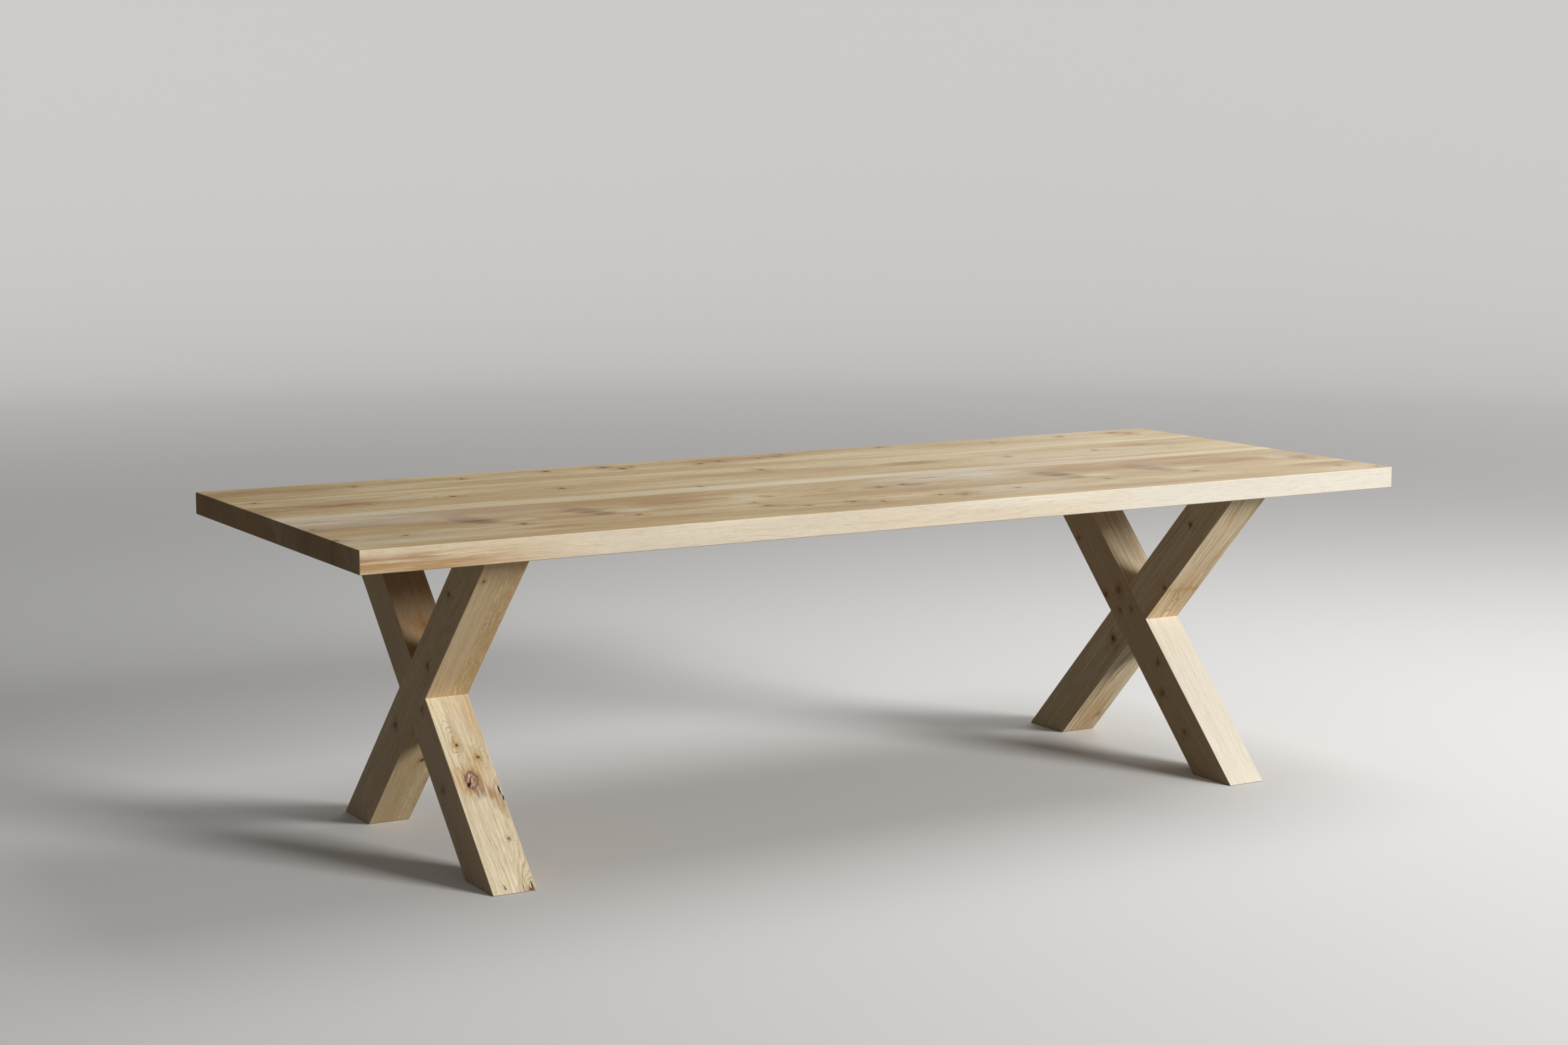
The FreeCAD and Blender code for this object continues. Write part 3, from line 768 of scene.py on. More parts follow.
PLANK_STAINS = {
    "top_board_back": [
        ("red", (470, 75, 60, 35, 0.30), (755, 62, 85, 40, 0.35), (1290, 60, 90, 45, 0.40),
         (1020, 80, 60, 45, 0.4), (2530, 80, 70, 50, 0.7), (1470, 62, 60, 30, 0.55)),
        # The wide brown patch 130 mm from the left end is partly stain and partly painted shade, darkening
        # the left end of the top.
        ("brown", (560, 65, 60, 30, 0.3), (130, 110, 260, 120, 0.55), (1990, 70, 120, 40, 0.3),
         (1400, 60, 160, 46, 0.4)),
    ],
    "top_board_inner_back": [
        ("red", (190, 356, 120, 40, 0.95), (60, 352, 90, 15, 0.7), (1690, 356, 110, 36, 0.95),
         (885, 300, 60, 30, 0.35), (2400, 300, 80, 34, 0.55), (262, 366, 60, 26, 0.5)),
        # The wide brown patch 150 mm from the left end is partly stain and partly painted shade, darkening
        # the left end of the top.
        ("brown", (20, 380, 80, 90, 0.55), (205, 366, 80, 24, 0.9), (150, 350, 280, 120, 0.45),
         (1690, 356, 95, 34, 0.75), (1400, 340, 320, 60, 0.45),
         (2470, 325, 160, 45, 0.5)),
        ("pale", (1330, 510, 460, 40, 0.5), (2100, 440, 380, 80, 0.4)),
        ("bleached", (1670, 530, 190, 40, 0.5), (110, 530, 240, 40, 0.4)),
    ],
    "top_board_inner_front": [
        ("bleached", (1680, 620, 200, 130, 0.5), (110, 610, 260, 130, 0.45), (1560, 580, 170, 60, 0.4)),
        ("violet", (120, 660, 200, 50, 0.2), (1475, 696, 60, 34, 0.6), (624, 720, 50, 52, 0.3),
         (2134, 720, 50, 52, 0.4),
         *((x + step, *rest) for step in IRON_STEPS for x, *rest in IRON_STAIN)),
        ("red", (560, 640, 260, 95, 0.42), (850, 690, 150, 70, 0.7), (480, 600, 160, 40, 0.4),
         (2060, 640, 260, 95, 0.65), (2350, 680, 180, 70, 0.85), (2290, 590, 240, 34, 0.7),
         (2440, 692, 90, 30, 0.7), (930, 692, 80, 30, 0.6)),
        ("brown", (900, 600, 300, 45, 0.50), (2590, 728, 70, 46, 0.75), (1375, 700, 50, 26, 0.6),
         (2390, 690, 170, 44, 0.5)),
        ("pale", (90, 600, 260, 60, 0.45), (420, 650, 300, 90, 0.3), (1600, 620, 300, 80, 0.5),
         (452, 768, 56, 34, 0.5), (720, 768, 56, 34, 0.5), (1955, 768, 56, 34, 0.5),
         (2228, 768, 56, 34, 0.5), (2552, 700, 44, 50, 0.45), (1030, 700, 44, 40, 0.4)),
    ],
    "top_board_front": [
        ("red", (490, 895, 90, 34, 0.5), (750, 895, 110, 30, 0.45), (1030, 856, 70, 28, 0.75),
         (1210, 890, 60, 26, 0.4), (1990, 892, 90, 30, 0.45), (2560, 858, 110, 44, 0.75)),
        ("brown", (1140, 870, 130, 40, 0.35), (830, 870, 90, 26, 0.3), (1500, 880, 70, 40, 0.4),
         (2550, 860, 110, 44, 0.6)),
        ("amber", (2350, 870, 150, 40, 0.45), (560, 940, 300, 40, 0.3)),
        ("bleached", (1650, 890, 200, 90, 0.35), (100, 890, 220, 80, 0.25)),
    ],
}
PLANK_STREAKS = {
    "top_board_inner_front": [
        ("brown", (1190, 656, 150, 4, 0.75), (1190, 741, 150, 5, 0.75), (1080, 712, 24, 26, 0.5)),
    ],
    "top_board_inner_back": [("dark", (110, 347, 90, 3, 0.3), (1600, 347, 80, 3, 0.25))],
}
print("knots in the top:", sum(len(knots) for knots in PLANK_KNOTS.values()))

# %% [markdown]
# What is left is how each plank lay in its log. The pith of a flat-sawn plank is under its middle, which
# draws arches on the face. With the pith to one side, the lines run straight, and the far edge may reach
# the sapwood. That is where the pale strips along two of the glue lines come from.
#
# The front edge has stains of its own, kept to the faces that point to the front. They are listed by
# their distance from the left end and their distance below the top. Its pale and greyish white strips
# are listed by where they start and end, and by how far down they come. The first pale strip, along the
# top of the edge at the left, is a painted highlight where the eased arris catches the light. The greyish
# white strips run on to the right end and are painted light, which makes the edge paler towards the lamp.

# %% List the logs and the stains of the front edge


def log_of(pith, part, year, taper, flecks, **looks):
    """One log: pith, part of the oak, width of its years and taper in mm, ray flecks and looks."""
    grown = {"pith": pith, "log": part, "year width": year / 1000, "taper": taper / 1000}
    return {**grown, "flecks": flecks, "warmth": 0.0, "contrast": 1.0, **looks}


PLANK_LOGS = {
    "top_board_back": log_of((0, 0.05, -0.13), (3, 1, 7), 4.2, 6, 0.22, bark=0.213, contrast=0.8),
    "top_board_inner_back": log_of(
        (0, 0.06, -0.15), (11, 4, 2), 4.6, -5, 0.22, bark=0.238, warmth=-0.02, contrast=0.75
    ),
    "top_board_inner_front": log_of((0, -0.01, -0.09), (5, 9, 3), 4.0, 12, 0.12, bark=0.5, warmth=0.05),
    "top_board_front": log_of((0, 0.04, -0.12), (8, 6, 5), 3.8, -8, 0.22, bark=0.5, contrast=0.9),
}
EDGE_STAINS = [
    ("brown", (-100, 42, 580, 46, 1.0)),
    ("brown", (-60, 46, 330, 40, 0.7)),
    ("amber", (100, 44, 420, 20, 0.3), (1350, 36, 320, 24, 0.4), (1640, 38, 220, 14, 0.45)),
]
# Painted light: the first pale strip is a highlight along the top arris, and the greyish white strips make
# the right part of the edge paler.
EDGE_STRIPS = [
    ("pale", (-200, 440, 12, 0.2), (1500, 1790, 14, 0.6)),
    ("bleached", (430, 3000, 90, 0.4), (1800, 3000, 90, 0.75)),
]
print("logs:", len(PLANK_LOGS), "and stains of the edge:", len(EDGE_STAINS))

# %% [markdown]
# Each plank then gets its knots, its stains and its finish. All four planks share one wide pale strip with
# a very soft start over the right half of the top. It is painted light, which makes the top brighter
# towards the lamp.

# %% Cut the planks from their logs
PLANK_EASE = 0.0006
OPEN = (None, None, 0)
# Painted light: a greyish white strip over the right half of the top, brighter towards the lamp.
PAINTED_LIGHT_RIGHT_HALF = ("bleached", "strip", None, [(((0.2, None, 1.1), OPEN, OPEN), 0.22)])
UP = (0, 0, 1)
TO_FRONT = (0, -1, 0)


def metres(numbers):
    """Millimetres as metres. An open end, given as None, stays open."""
    return tuple(part and part / 1000 for part in numbers)


def edge_tints(front, top):
    """The stains and strips of the front edge, whose place across and through are given; most strips are
    painted light.
    """
    for kind, *patches in EDGE_STAINS:
        yield kind, "patch", TO_FRONT, [
            ((TOP_LEFT + x / 1000, front, top - down / 1000), metres((a, 40, b)), depth)
            for x, down, a, b, depth in patches
        ]
    for kind, *strips in EDGE_STRIPS:
        yield kind, "strip", TO_FRONT, [
            (((TOP_LEFT + start / 1000, TOP_LEFT + end / 1000, 0.15), OPEN,
              (top - down / 1000, None, 0.003)), depth)
            for start, end, down, depth in strips
        ]


for node, log in PLANK_LOGS.items():
    low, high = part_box(node)
    middle = (low + high) / 2
    back = TOP_BACK - middle.y
    knots = [
        ((TOP_LEFT + x / 1000, back - y / 1000, 0), size / 1000, "w") for x, y, size in PLANK_KNOTS[node]
    ]
    tints = [
        (kind, shape, UP if kind in ("bleached", "pale") else None, [
            ((TOP_LEFT + x / 1000, back - y / 1000, 0), metres((a, b, 0)), depth)
            for x, y, a, b, depth in patches
        ])
        for shape, listed in (("patch", PLANK_STAINS[node]), ("mark", PLANK_STREAKS.get(node, [])))
        for kind, *patches in listed
    ]
    if node == "top_board_front":
        tints += edge_tints(low.y - middle.y, high.z - TOP_MIDDLE)
    directions = ((1, 0, 0), (0, 1, 0), UP)
    # The pale side tint is a painted highlight on the front and back edges of the plank.
    finish = oak_finish(
        f"oak_{node}", directions, (0, middle.y, TOP_MIDDLE), knots, {"whole": log},
        [*tints, PAINTED_LIGHT_RIGHT_HALF], ("pale", 0.3),
    )
    piece = whole_copy(node)
    chamfers = [edge for edge in piece.edges if 30 < edge_turn(edge) < 60]
    bmesh.ops.bevel(piece, geom=chamfers, offset=PLANK_EASE, segments=2, affect="EDGES", profile=0.5)
    plank = finished_piece(piece, f"plank_{node.removeprefix('top_board_')}", finish)
    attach(plank, "root")
    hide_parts(node)
    print(plank.name, "has", len(plank.data.polygons), "faces")

# %% [markdown]
# ## The leg beams
#
# Each beam is 100 mm thick along the table and 104 mm deep, and leans at a little over 44 degrees. Where
# two beams cross, each gives up half of its thickness. The long corners are eased by a couple of strokes of
# a block plane, but only outside the joint: an eased corner inside it would leave a dark groove.
# The copy is therefore cut across at the four corners of the joint first, so that easing can
# stop there.

# %% Ease the beams outside the joint
BEAM_RUN, BEAM_RISE = 0.6917, 0.709
LEAN = math.atan2(BEAM_RUN, BEAM_RISE)
BEAM_EASE = 0.0012
CLOSE = 1e-4
JOINT_HEIGHT = 0.3555
JOINT_REACH, JOINT_CLIMB = 0.07265, 0.07446
JOINT_CORNERS = [
    Vector((0, side * JOINT_REACH, JOINT_HEIGHT + climb * JOINT_CLIMB))
    for side, climb in ((0, -1), (0, 1), (-1, 0), (1, 0))
]


def beam_directions(node):
    """Along the grain, across to the right, and out of the face that leans to the front."""
    side = 1 if "front_foot" in node else -1
    along = Vector((0, side * math.sin(LEAN), math.cos(LEAN)))
    outward = Vector((0, -math.cos(LEAN), side * math.sin(LEAN)))
    return along, Vector((1, 0, 0)), outward


def eased_beam(node):
    """A beam with its long corners eased, except inside the joint, and its foot eased all round."""
    along, _, outward = beam_directions(node)
    piece = whole_copy(node)
    for corner in JOINT_CORNERS:
        everything = [*piece.verts, *piece.edges, *piece.faces]
        bmesh.ops.bisect_plane(piece, geom=everything, plane_co=corner, plane_no=along)
    low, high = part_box(node)
    chosen = []
    for edge in piece.edges:
        first, second = (end.co for end in edge.verts)
        middle = (first + second) / 2
        on_side = min(middle.x - low.x, high.x - middle.x) < CLOSE
        if max(first.z, second.z) < low.z + CLOSE and edge_turn(edge) > 30:
            if on_side or any(abs(face.normal.dot(outward)) > 0.99 for face in edge.link_faces):
                chosen.append(edge)
        elif on_side and edge_turn(edge) > 60 and abs((second - first).normalized().dot(along)) > 0.999:
            in_line = [place for place in JOINT_CORNERS if abs((place - middle).dot(outward)) < CLOSE]
            ends = sorted(place.dot(along) for place in in_line)
            if not ends or not ends[0] < middle.dot(along) < ends[-1]:
                chosen.append(edge)
    bmesh.ops.bevel(piece, geom=chosen, offset=BEAM_EASE, segments=3, affect="EDGES", profile=0.5)
    return piece


print("corners of the joint:", len(JOINT_CORNERS))

# %% [markdown]
# The lists of a beam are in millimetres in its own grain space: up along the beam from the middle of its
# foot, across to the right, and out towards the front. A knot has its place along and across its face,
# its radius, and the way in which its branch runs through: "w" out of the front face, or "v" out of the
# side. A stain on the front face has three reaches instead of a radius. A strip has its two ends along
# and its two ends across, with None for an end that stays open. One knot on the left front beam is
# large and has split open, so it is left out of the list and has its own recipe.

# %% List knots and stains of the beams
BEAM_KNOTS = {
    "left_leg_front_foot": [
        (320, -16, 4, "w"), (284, 22, 5, "w"), (78, 26, 2, "w"), (-36, -18, 2, "w"),
        (-46, 39, 5, "w"), (634, 6, 9, "w"), (440, 20, 7, "v"),
        (250, -12, 6, "v"),
    ],
    "left_leg_back_foot": [
        (959, -34, 3, "w"), (298, 12, 6, "w"), (610, 12, 7, "v"), (360, -8, 8, "v"),
        (820, -22, 5, "v"),
    ],
    "right_leg_front_foot": [
        (565, 12, 9, "v"), (589, -40, 7, "v"), (524, -18, 5, "v"), (498, 21, 5, "v"),
        (335, 19, 6, "v"), (269, -19, 7, "v"), (145, -10, 5, "v"), (766, -36, 5, "v"),
    ],
    "right_leg_back_foot": [
        (403, 6, 9, "v"), (662, 42, 5, "v"), (852, -7, 5, "v"), (120, 26, 4, "w"),
    ],
}
BEAM_SWIRLS = {
    "left_leg_front_foot": [
        (340, -12, 50, 17, 0.017), (231, -8, 48, 26, 0.012), (190, 34, 74, 18, 0.009),
        (-50, 38, 90, 30, 0.011), (284, 21, 24, 14, 0.008),
    ],
    "left_leg_back_foot": [(298, 12, 60, 20, 0.012)],
    "right_leg_back_foot": [(590, -10, 70, 16, 0.010), (760, 20, 80, 14, 0.008)],
}
BEAM_STAINS = {
    "left_leg_front_foot": [
        # Painted shade: the brown strip from 500 mm up darkens the upper part of the beam, which lies in
        # the shade of the top.
        ("brown", "strip", (500, None, None, None, 0.75)),
        ("brown", "patch", (228, -12, 52, 34, 40, 0.4), (195, 30, 30, 14, 30, 0.3)),
        ("violet", "patch", (228, 5, 26, 12, 30, 0.8), (205, -3, 24, 15, 30, 0.8)),
        ("brown", "patch", (214, 13, 20, 10, 30, 0.6), (190, 27, 26, 13, 30, 0.6)),
        ("red", "patch", (204, 19, 20, 10, 30, 0.45), (186, 29, 22, 11, 30, 0.5),
         (170, 37, 24, 12, 30, 0.75), (158, 33, 18, 16, 30, 0.4),
         (612, 6, 60, 30, 40, 0.6)),
        ("amber", "patch", (600, 0, 90, 60, 40, 0.4), (262, 8, 70, 34, 40, 0.6),
         (320, -14, 44, 26, 40, 0.5), (236, -36, 44, 16, 40, 0.6), (200, -26, 30, 22, 40, 0.45),
         (400, 38, 130, 22, 40, 0.5)),
        ("pale", "mark", (190, 45, 15, 4, 9, 0.9), (204, 41, 8, 3, 9, 0.9),
         (-40, 39, 8, 3, 9, 0.8)),
        ("dark", "mark", (196, 44, 16, 2.6, 9, 0.95), (178, 47, 10, 2.4, 9, 0.95),
         (-38, 42, 12, 2.4, 9, 0.9)),
    ],
    "left_leg_back_foot": [
        ("rose", "strip", (None, None, None, 6, 0.18)),
        ("amber", "strip", (500, None, 32, None, 0.4), (None, None, None, None, 0.25)),
    ],
    "right_leg_front_foot": [
        ("brown", "patch", (720, 0, 200, 60, 60, 0.4)),
        # Painted light: the greyish white strip up to 470 mm makes the lower part of the beam paler, where
        # it is lit most.
        ("bleached", "strip", (None, 470, None, None, 0.65)),
    ],
    "right_leg_back_foot": [
        ("red", "patch", (620, 30, 120, 50, 60, 0.35), (110, 20, 160, 40, 60, 0.35)),
        ("rose", "patch", (860, 0, 300, 80, 60, 0.22)),
        ("amber", "patch", (600, 0, 190, 90, 60, 0.65), (840, 10, 260, 80, 60, 0.25),
         (100, -10, 260, 60, 60, 0.65)),
    ],
}
BEAM_LOGS = {
    "left_leg_front_foot": {
        "whole": log_of((0, 0.024, -0.06), (2, 3, 9), 3.0, 5, 0.1, warmth=-0.12, contrast=0.85, cream=0.98),
        "stave": 0.022,
        "beyond": {"warmth": -0.04, "cream": 0.82},
    },
    "left_leg_back_foot": {
        "whole": log_of((0, -0.24, 0.03), (7, 2, 4), 3.4, 4, 0.35, contrast=0.8, cream=0.42),
        "stave": 0.006,
        "beyond": {"log": (1, 6, 8), "warmth": 0.06, "contrast": 0.6, "cream": 0.1, "flecks": 1.0},
    },
    "right_leg_front_foot": {
        "whole": log_of((0, -0.16, -0.1), (4, 8, 1), 3.4, 4, 0.2, warmth=-0.14, contrast=0.35, cream=0.8),
    },
    "right_leg_back_foot": {
        "whole": log_of((0, -0.08, -0.1), (9, 5, 6), 5.0, 10, 0.25, warmth=-0.04, contrast=1.8, cream=1.0),
    },
}
# Painted shade: the sides of each beam, which face along the table, are darkened with rose or brown.
BEAM_SIDE_SHADE = {
    "left_leg_front_foot": ("rose", 0.6),
    "left_leg_back_foot": ("rose", 0.35),
    "right_leg_front_foot": ("brown", 0.6),
    "right_leg_back_foot": ("brown", 0.3),
}
FACE_OUT = 0.052
SPLIT_KNOT = ((0.230, -0.010, FACE_OUT), (0.021, 0.0135), math.radians(14))
print("knots in the beams:", sum(len(knots) for knots in BEAM_KNOTS.values()))

# %% [markdown]
# ### Drying cracks
#
# Heavy beams dry slowly and crack a little, most of all in and beside their knots. A dark line in the
# colour would look the same from afar, but a raking light shows that a crack has depth. Each crack
# is a small ragged wedge, listed by place, length, width, depth and lean on the front face. All wedges
# of a beam are taken away from it at once.

# %% Cut the drying cracks
CRACKS = {
    "left_leg_front_foot": [
        (197, 44, 26, 3.2, 5, -12), (178, 47.4, 15, 2.6, 4, 7), (186, 40.6, 9, 1.5, 3, -20),
        (320, -16, 6, 3.0, 4, 30), (284, 22, 6, 3.2, 4, -40), (220, -18.6, 9, 3.6, 4, 24),
        (237, -6, 9, 1.3, 2.5, 12), (231, -12.4, 10, 1.1, 2.5, 18), (228, -2, 8, 1.2, 2.5, 8),
        (-36, 42, 17, 2.3, 4, 8), (-47, 36.5, 7, 2.2, 3, -25),
    ],
    "left_leg_back_foot": [(298, 12, 8, 2.4, 3, 10), (959, -34, 5, 1.8, 3, -20)],
    "right_leg_back_foot": [(120, 26, 7, 2.0, 3, 15)],
}
WEDGE_SIDES = 16
WEDGE_ABOVE = 0.001
RAGGED = 0.28
WEDGE_LEVELS = ((0, 1, 1), (0.6, 0.86, 0.5), (1, 0.6, 0.14))


def wedge(cutter, chance, middle, length, width, depth, towards, beside, outward):
    """Adds one ragged wedge that is widest at the face and thin at its bottom."""
    outline = []
    for step in range(WEDGE_SIDES):
        turn = 2 * math.pi * step / WEDGE_SIDES
        ragged = 1 + chance.uniform(-RAGGED, RAGGED)
        outline.append((length / 2 * math.cos(turn), width / 2 * math.sin(turn) * ragged))
    levels = [(WEDGE_ABOVE, 1, 1), *((-depth * down, long, wide) for down, long, wide in WEDGE_LEVELS)]
    rings = [
        [cutter.verts.new(middle + towards * (a * long) + beside * (b * wide) + outward * height)
         for a, b in outline]
        for height, long, wide in levels
    ]
    faces = [cutter.faces.new(rings[0]), cutter.faces.new(reversed(rings[-1]))]
    bmesh.ops.recalc_face_normals(cutter, faces=faces + join_rings(cutter, rings[::-1]))


def cut_cracks(beam, cracks, foot, directions):
    """Takes ragged wedges away from a beam."""
    along, across, outward = directions
    chance = random.Random(7)
    cutter = bmesh.new()
    for u, v, *size, lean in cracks:
        turn = math.radians(lean)
        towards = along * math.cos(turn) + across * math.sin(turn)
        beside = across * math.cos(turn) - along * math.sin(turn)
        middle = Vector(foot) + along * (u / 1000) + across * (v / 1000) + outward * FACE_OUT
        wedge(cutter, chance, middle, *metres(size), towards, beside, outward)
    wedges = new_object("wedges", new_mesh("wedges", cutter))
    carving = beam.modifiers.new("cracks", "BOOLEAN")
    carving.operation = "DIFFERENCE"
    carving.solver = "EXACT"
    carving.object = wedges
    evaluated = beam.evaluated_get(bpy.context.evaluated_depsgraph_get())
    carved = bpy.data.meshes.new_from_object(evaluated)
    beam.modifiers.clear()
    plain = beam.data
    beam.data = carved
    bpy.data.meshes.remove(plain)
    bpy.data.objects.remove(wedges)
    print("drying cracks in", beam.name + ":", len(cracks))


# %% [markdown]
# Now the lists come together: each beam gets its finish, its eased copy of the solid, and its cracks.

# %% Make the beams
for node, log in BEAM_LOGS.items():
    directions = beam_directions(node)
    low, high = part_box(node)
    foot_y = (-1 if "front_foot" in node else 1) * BEAM_RUN / 2
    foot = ((low.x + high.x) / 2, foot_y, low.z)
    knots = [
        (metres((u, across, 0) if through == "w" else (u, 0, across)), size / 1000, through)
        for u, across, size, through in BEAM_KNOTS[node]
    ]
    tints = []
    for kind, shape, *patches in BEAM_STAINS[node]:
        if shape == "strip":
            spans = [
                (((*metres(ends[:2]), SHARP), (*metres(ends[2:]), SHARP)), depth)
                for *ends, depth in patches
            ]
            tints.append((kind, shape, directions[2], spans))
        else:
            spans = [
                ((u / 1000, v / 1000, FACE_OUT), metres(reach), depth) for u, v, *reach, depth in patches
            ]
            tints.append((kind, shape, None, spans))
    swirls = [
        (metres((u, v, 0)), metres((a, b, 0)), rise) for u, v, a, b, rise in BEAM_SWIRLS.get(node, [])
    ]
    split_knot = SPLIT_KNOT if node == "left_leg_front_foot" else None
    finish = oak_finish(
        f"oak_{node}", directions, foot, knots, log, tints, BEAM_SIDE_SHADE[node], swirls, split_knot
    )
    beam = finished_piece(eased_beam(node), f"beam_{node.replace('_leg', '')}", finish)
    if node in CRACKS:
        cut_cracks(beam, CRACKS[node], foot, directions)
    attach(beam, "root")
    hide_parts(node)
    print(beam.name, "has", len(beam.data.polygons), "faces")

# %% [markdown]
# ## Felt under the feet
#
# Felt pads are let into the feet and stand a millimetre proud, so that the table slides without
# scratching. Pressed felt is punched out of a sheet, so its corners are round and its rim is a little
# furry. Rings of points, each pushed in or out by a hair, make that rim. A plain box would show a sharp
# line along the floor.

# %% Punch the felt pads
PAD_CORNER = 0.008
CORNER_STEPS = 6
RIM_STEP = 0.004
FURRY = 0.0003
PAD_LEVELS = ((0.0012, 0.0), (0.0004, 0.0003), (0.0002, 0.0012), (0.0003, 0.0042), (0.0009, 0.005))


def felt_pad(node, chance):
    """A punched pad with round corners and a slightly furry rim."""
    low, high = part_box(node)
    middle = (low + high) / 2
    straight_x, straight_y = ((end - start) / 2 - PAD_CORNER for start, end in zip(low.xy, high.xy))
    outline = []
    for quarter, (side_x, side_y) in enumerate(((1, 1), (-1, 1), (-1, -1), (1, -1))):
        for step in range(CORNER_STEPS + 1):
            turn = math.pi / 2 * (quarter + step / CORNER_STEPS)
            x = side_x * straight_x + PAD_CORNER * math.cos(turn)
            outline.append((x, side_y * straight_y + PAD_CORNER * math.sin(turn)))
    dense = []
    for here, after in zip(outline, outline[1:] + outline[:1]):
        steps = max(1, round(math.dist(here, after) / RIM_STEP))
        dense += [[a + (b - a) * step / steps for a, b in zip(here, after)] for step in range(steps)]
    piece = bmesh.new()
    rings = []
    for inset, height in PAD_LEVELS:
        ring = []
        for x, y in dense:
            shrink = 1 - (inset + chance.uniform(0, FURRY)) / math.hypot(x, y)
            ring.append(piece.verts.new((middle.x + x * shrink, middle.y + y * shrink, low.z + height)))
        rings.append(ring)
    piece.faces.new(reversed(rings[0]))
    piece.faces.new(rings[-1])
    join_rings(piece, rings)
    bmesh.ops.recalc_face_normals(piece, faces=piece.faces)
    return piece


felt, where = new_finish("pressed_felt")
hair = where.cloud((900, 2600, 1500), 4.0, 0.7)
tuft = where.cloud((160, 160, 160)).ease(0.4, 0.7, 0.5)
wool = paint_over(hair.ease(0.35, 0.65), (112, 100, 88), (150, 138, 124))
wool = paint_over(tuft, wool, (92, 82, 72))
dress(felt, wool, 0.95, {"Sheen Weight": 0.4, "Normal": hair.bump(0.6, 0.0004)})
chance = random.Random(11)
for side in ("left", "right"):
    for end in ("back", "front"):
        pad = finished_piece(felt_pad(f"{side}_foot_pad_{end}", chance), f"felt_{side}_{end}", felt)
        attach(pad, "root")
        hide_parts(f"{side}_foot_pad_{end}")
print("faces of one pad:", len(pad.data.polygons))

# %% [markdown]
# ## Metal finishes
#
# Three metals hide under the top. The plates and the channel are black powder coat: dull, with the fine
# orange-peel skin that powder leaves when it melts. The bolts, washers and screws are zinc plated,
# grey with a cool cloudiness. The inserts are turned brass. Metal needs little colour of its own.
# What makes it look like metal is how the roughness changes over it.

# %% Mix the metals


def metal_finish(name, dark, light, rough, spread, metallic, grain, bump):
    """A metal or coated finish with cloudy colour, uneven roughness and a fine skin."""
    finish, where = new_finish(name)
    bloom = where.cloud((70, 70, 70), 3.0, 0.6)
    skin = where.cloud((grain, grain, grain))
    colour = paint_over(bloom.ease(0.3, 0.7), dark, light)
    others = {"Metallic": metallic, "Normal": skin.bump(bump, 0.0003)}
    dress(finish, colour, (skin - 0.5) * spread + rough, others)
    return finish


black_coat = metal_finish("black_powder_coat", (34, 34, 35), (44, 44, 45), 0.55, 0.2, 0.0, 900, 0.5)
zinc = metal_finish("zinc_plating", (176, 180, 186), (206, 208, 210), 0.34, 0.3, 1.0, 1400, 0.15)
brass = metal_finish("turned_brass", (196, 158, 92), (220, 184, 116), 0.30, 0.25, 1.0, 1100, 0.15)
for node in ("left_head_plate", "right_head_plate", "middle_channel"):
    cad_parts[node].material_slots[0].material = black_coat
print("metals:", black_coat.name, zinc.name, brass.name)

# %% [markdown]
# The tongues in the glue lines are beech, a plain pinkish wood with short dark dashes. They are out of
# sight once the top is glued, but somebody who takes the model apart will find them.

# %% Mix the beech
beech, where = new_finish("beech_timber")
band = where.cloud((2, 60, 60), 3.0)
dash = where.cloud((220, 1500, 1500), 0.0).ease(0.62, 0.70)
timber = paint_over(band.ease(0.35, 0.65), (226, 188, 150), (208, 166, 128))
timber = paint_over(dash * 0.5, timber, (150, 102, 70))
dress(beech, timber, band * 0.2 + 0.5, {"Normal": dash.bump(0.2, 0.0004)})
for node in ("top_tongue_back", "top_tongue_middle", "top_tongue_front"):
    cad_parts[node].material_slots[0].material = beech
print("tongues finished in", beech.name)

# %% [markdown]
# ## Bolts, washers, inserts and screws
#
# Sixty-four small turned parts hold the trestles and the channel. All are made alike: a half-profile
# turned about its axis, perhaps with a six-sided socket sunk in its head, and set out on a grid of
# rows and columns. That is work for Geometry Nodes. The profile is drawn as a line of points, and one
# node tree turns it, cuts the socket and repeats the part. Its sizes are inputs, so the same tree
# makes all of them.

# %% Build the tree that turns and repeats
turner = bpy.data.node_groups.new("turned_parts", "GeometryNodeTree")
TURNER_INLETS = {
    "Geometry": ("Half profile",),
    "Int": ("Sides", "Rows", "Columns"),
    "Float": ("Row gap", "Column gap", "Socket width", "Socket depth"),
    "Vector": ("Centre",),
    "Bool": ("Has socket",),
    "Material": ("Finish",),
}
for kind, names in TURNER_INLETS.items():
    for name in names:
        turner.interface.new_socket(name, in_out="INPUT", socket_type=f"NodeSocket{kind}")
turner.interface.new_socket("Parts", in_out="OUTPUT", socket_type="NodeSocketGeometry")
given = inlets_of(turner)
print("inlets of the turning tree:", len(given))

# %% [markdown]
# Turning is a curve swept round a tiny circle. Points on the axis then pile up, so they are merged, and
# the sweep leaves the faces looking inwards, so they are flipped.
# The socket is a six-sided bar taken away from the head. Its corners lie on a circle that is wider
# than its flats by two over the root of three.

# %% Turn one part and sink its socket
AXIS_RADIUS = 0.00001
MERGE_GAP = 0.00003


def shape(kind, wiring, **settings):
    """Adds a node that makes or changes a shape."""
    return put(turner, f"GeometryNode{kind}", wiring, **settings)


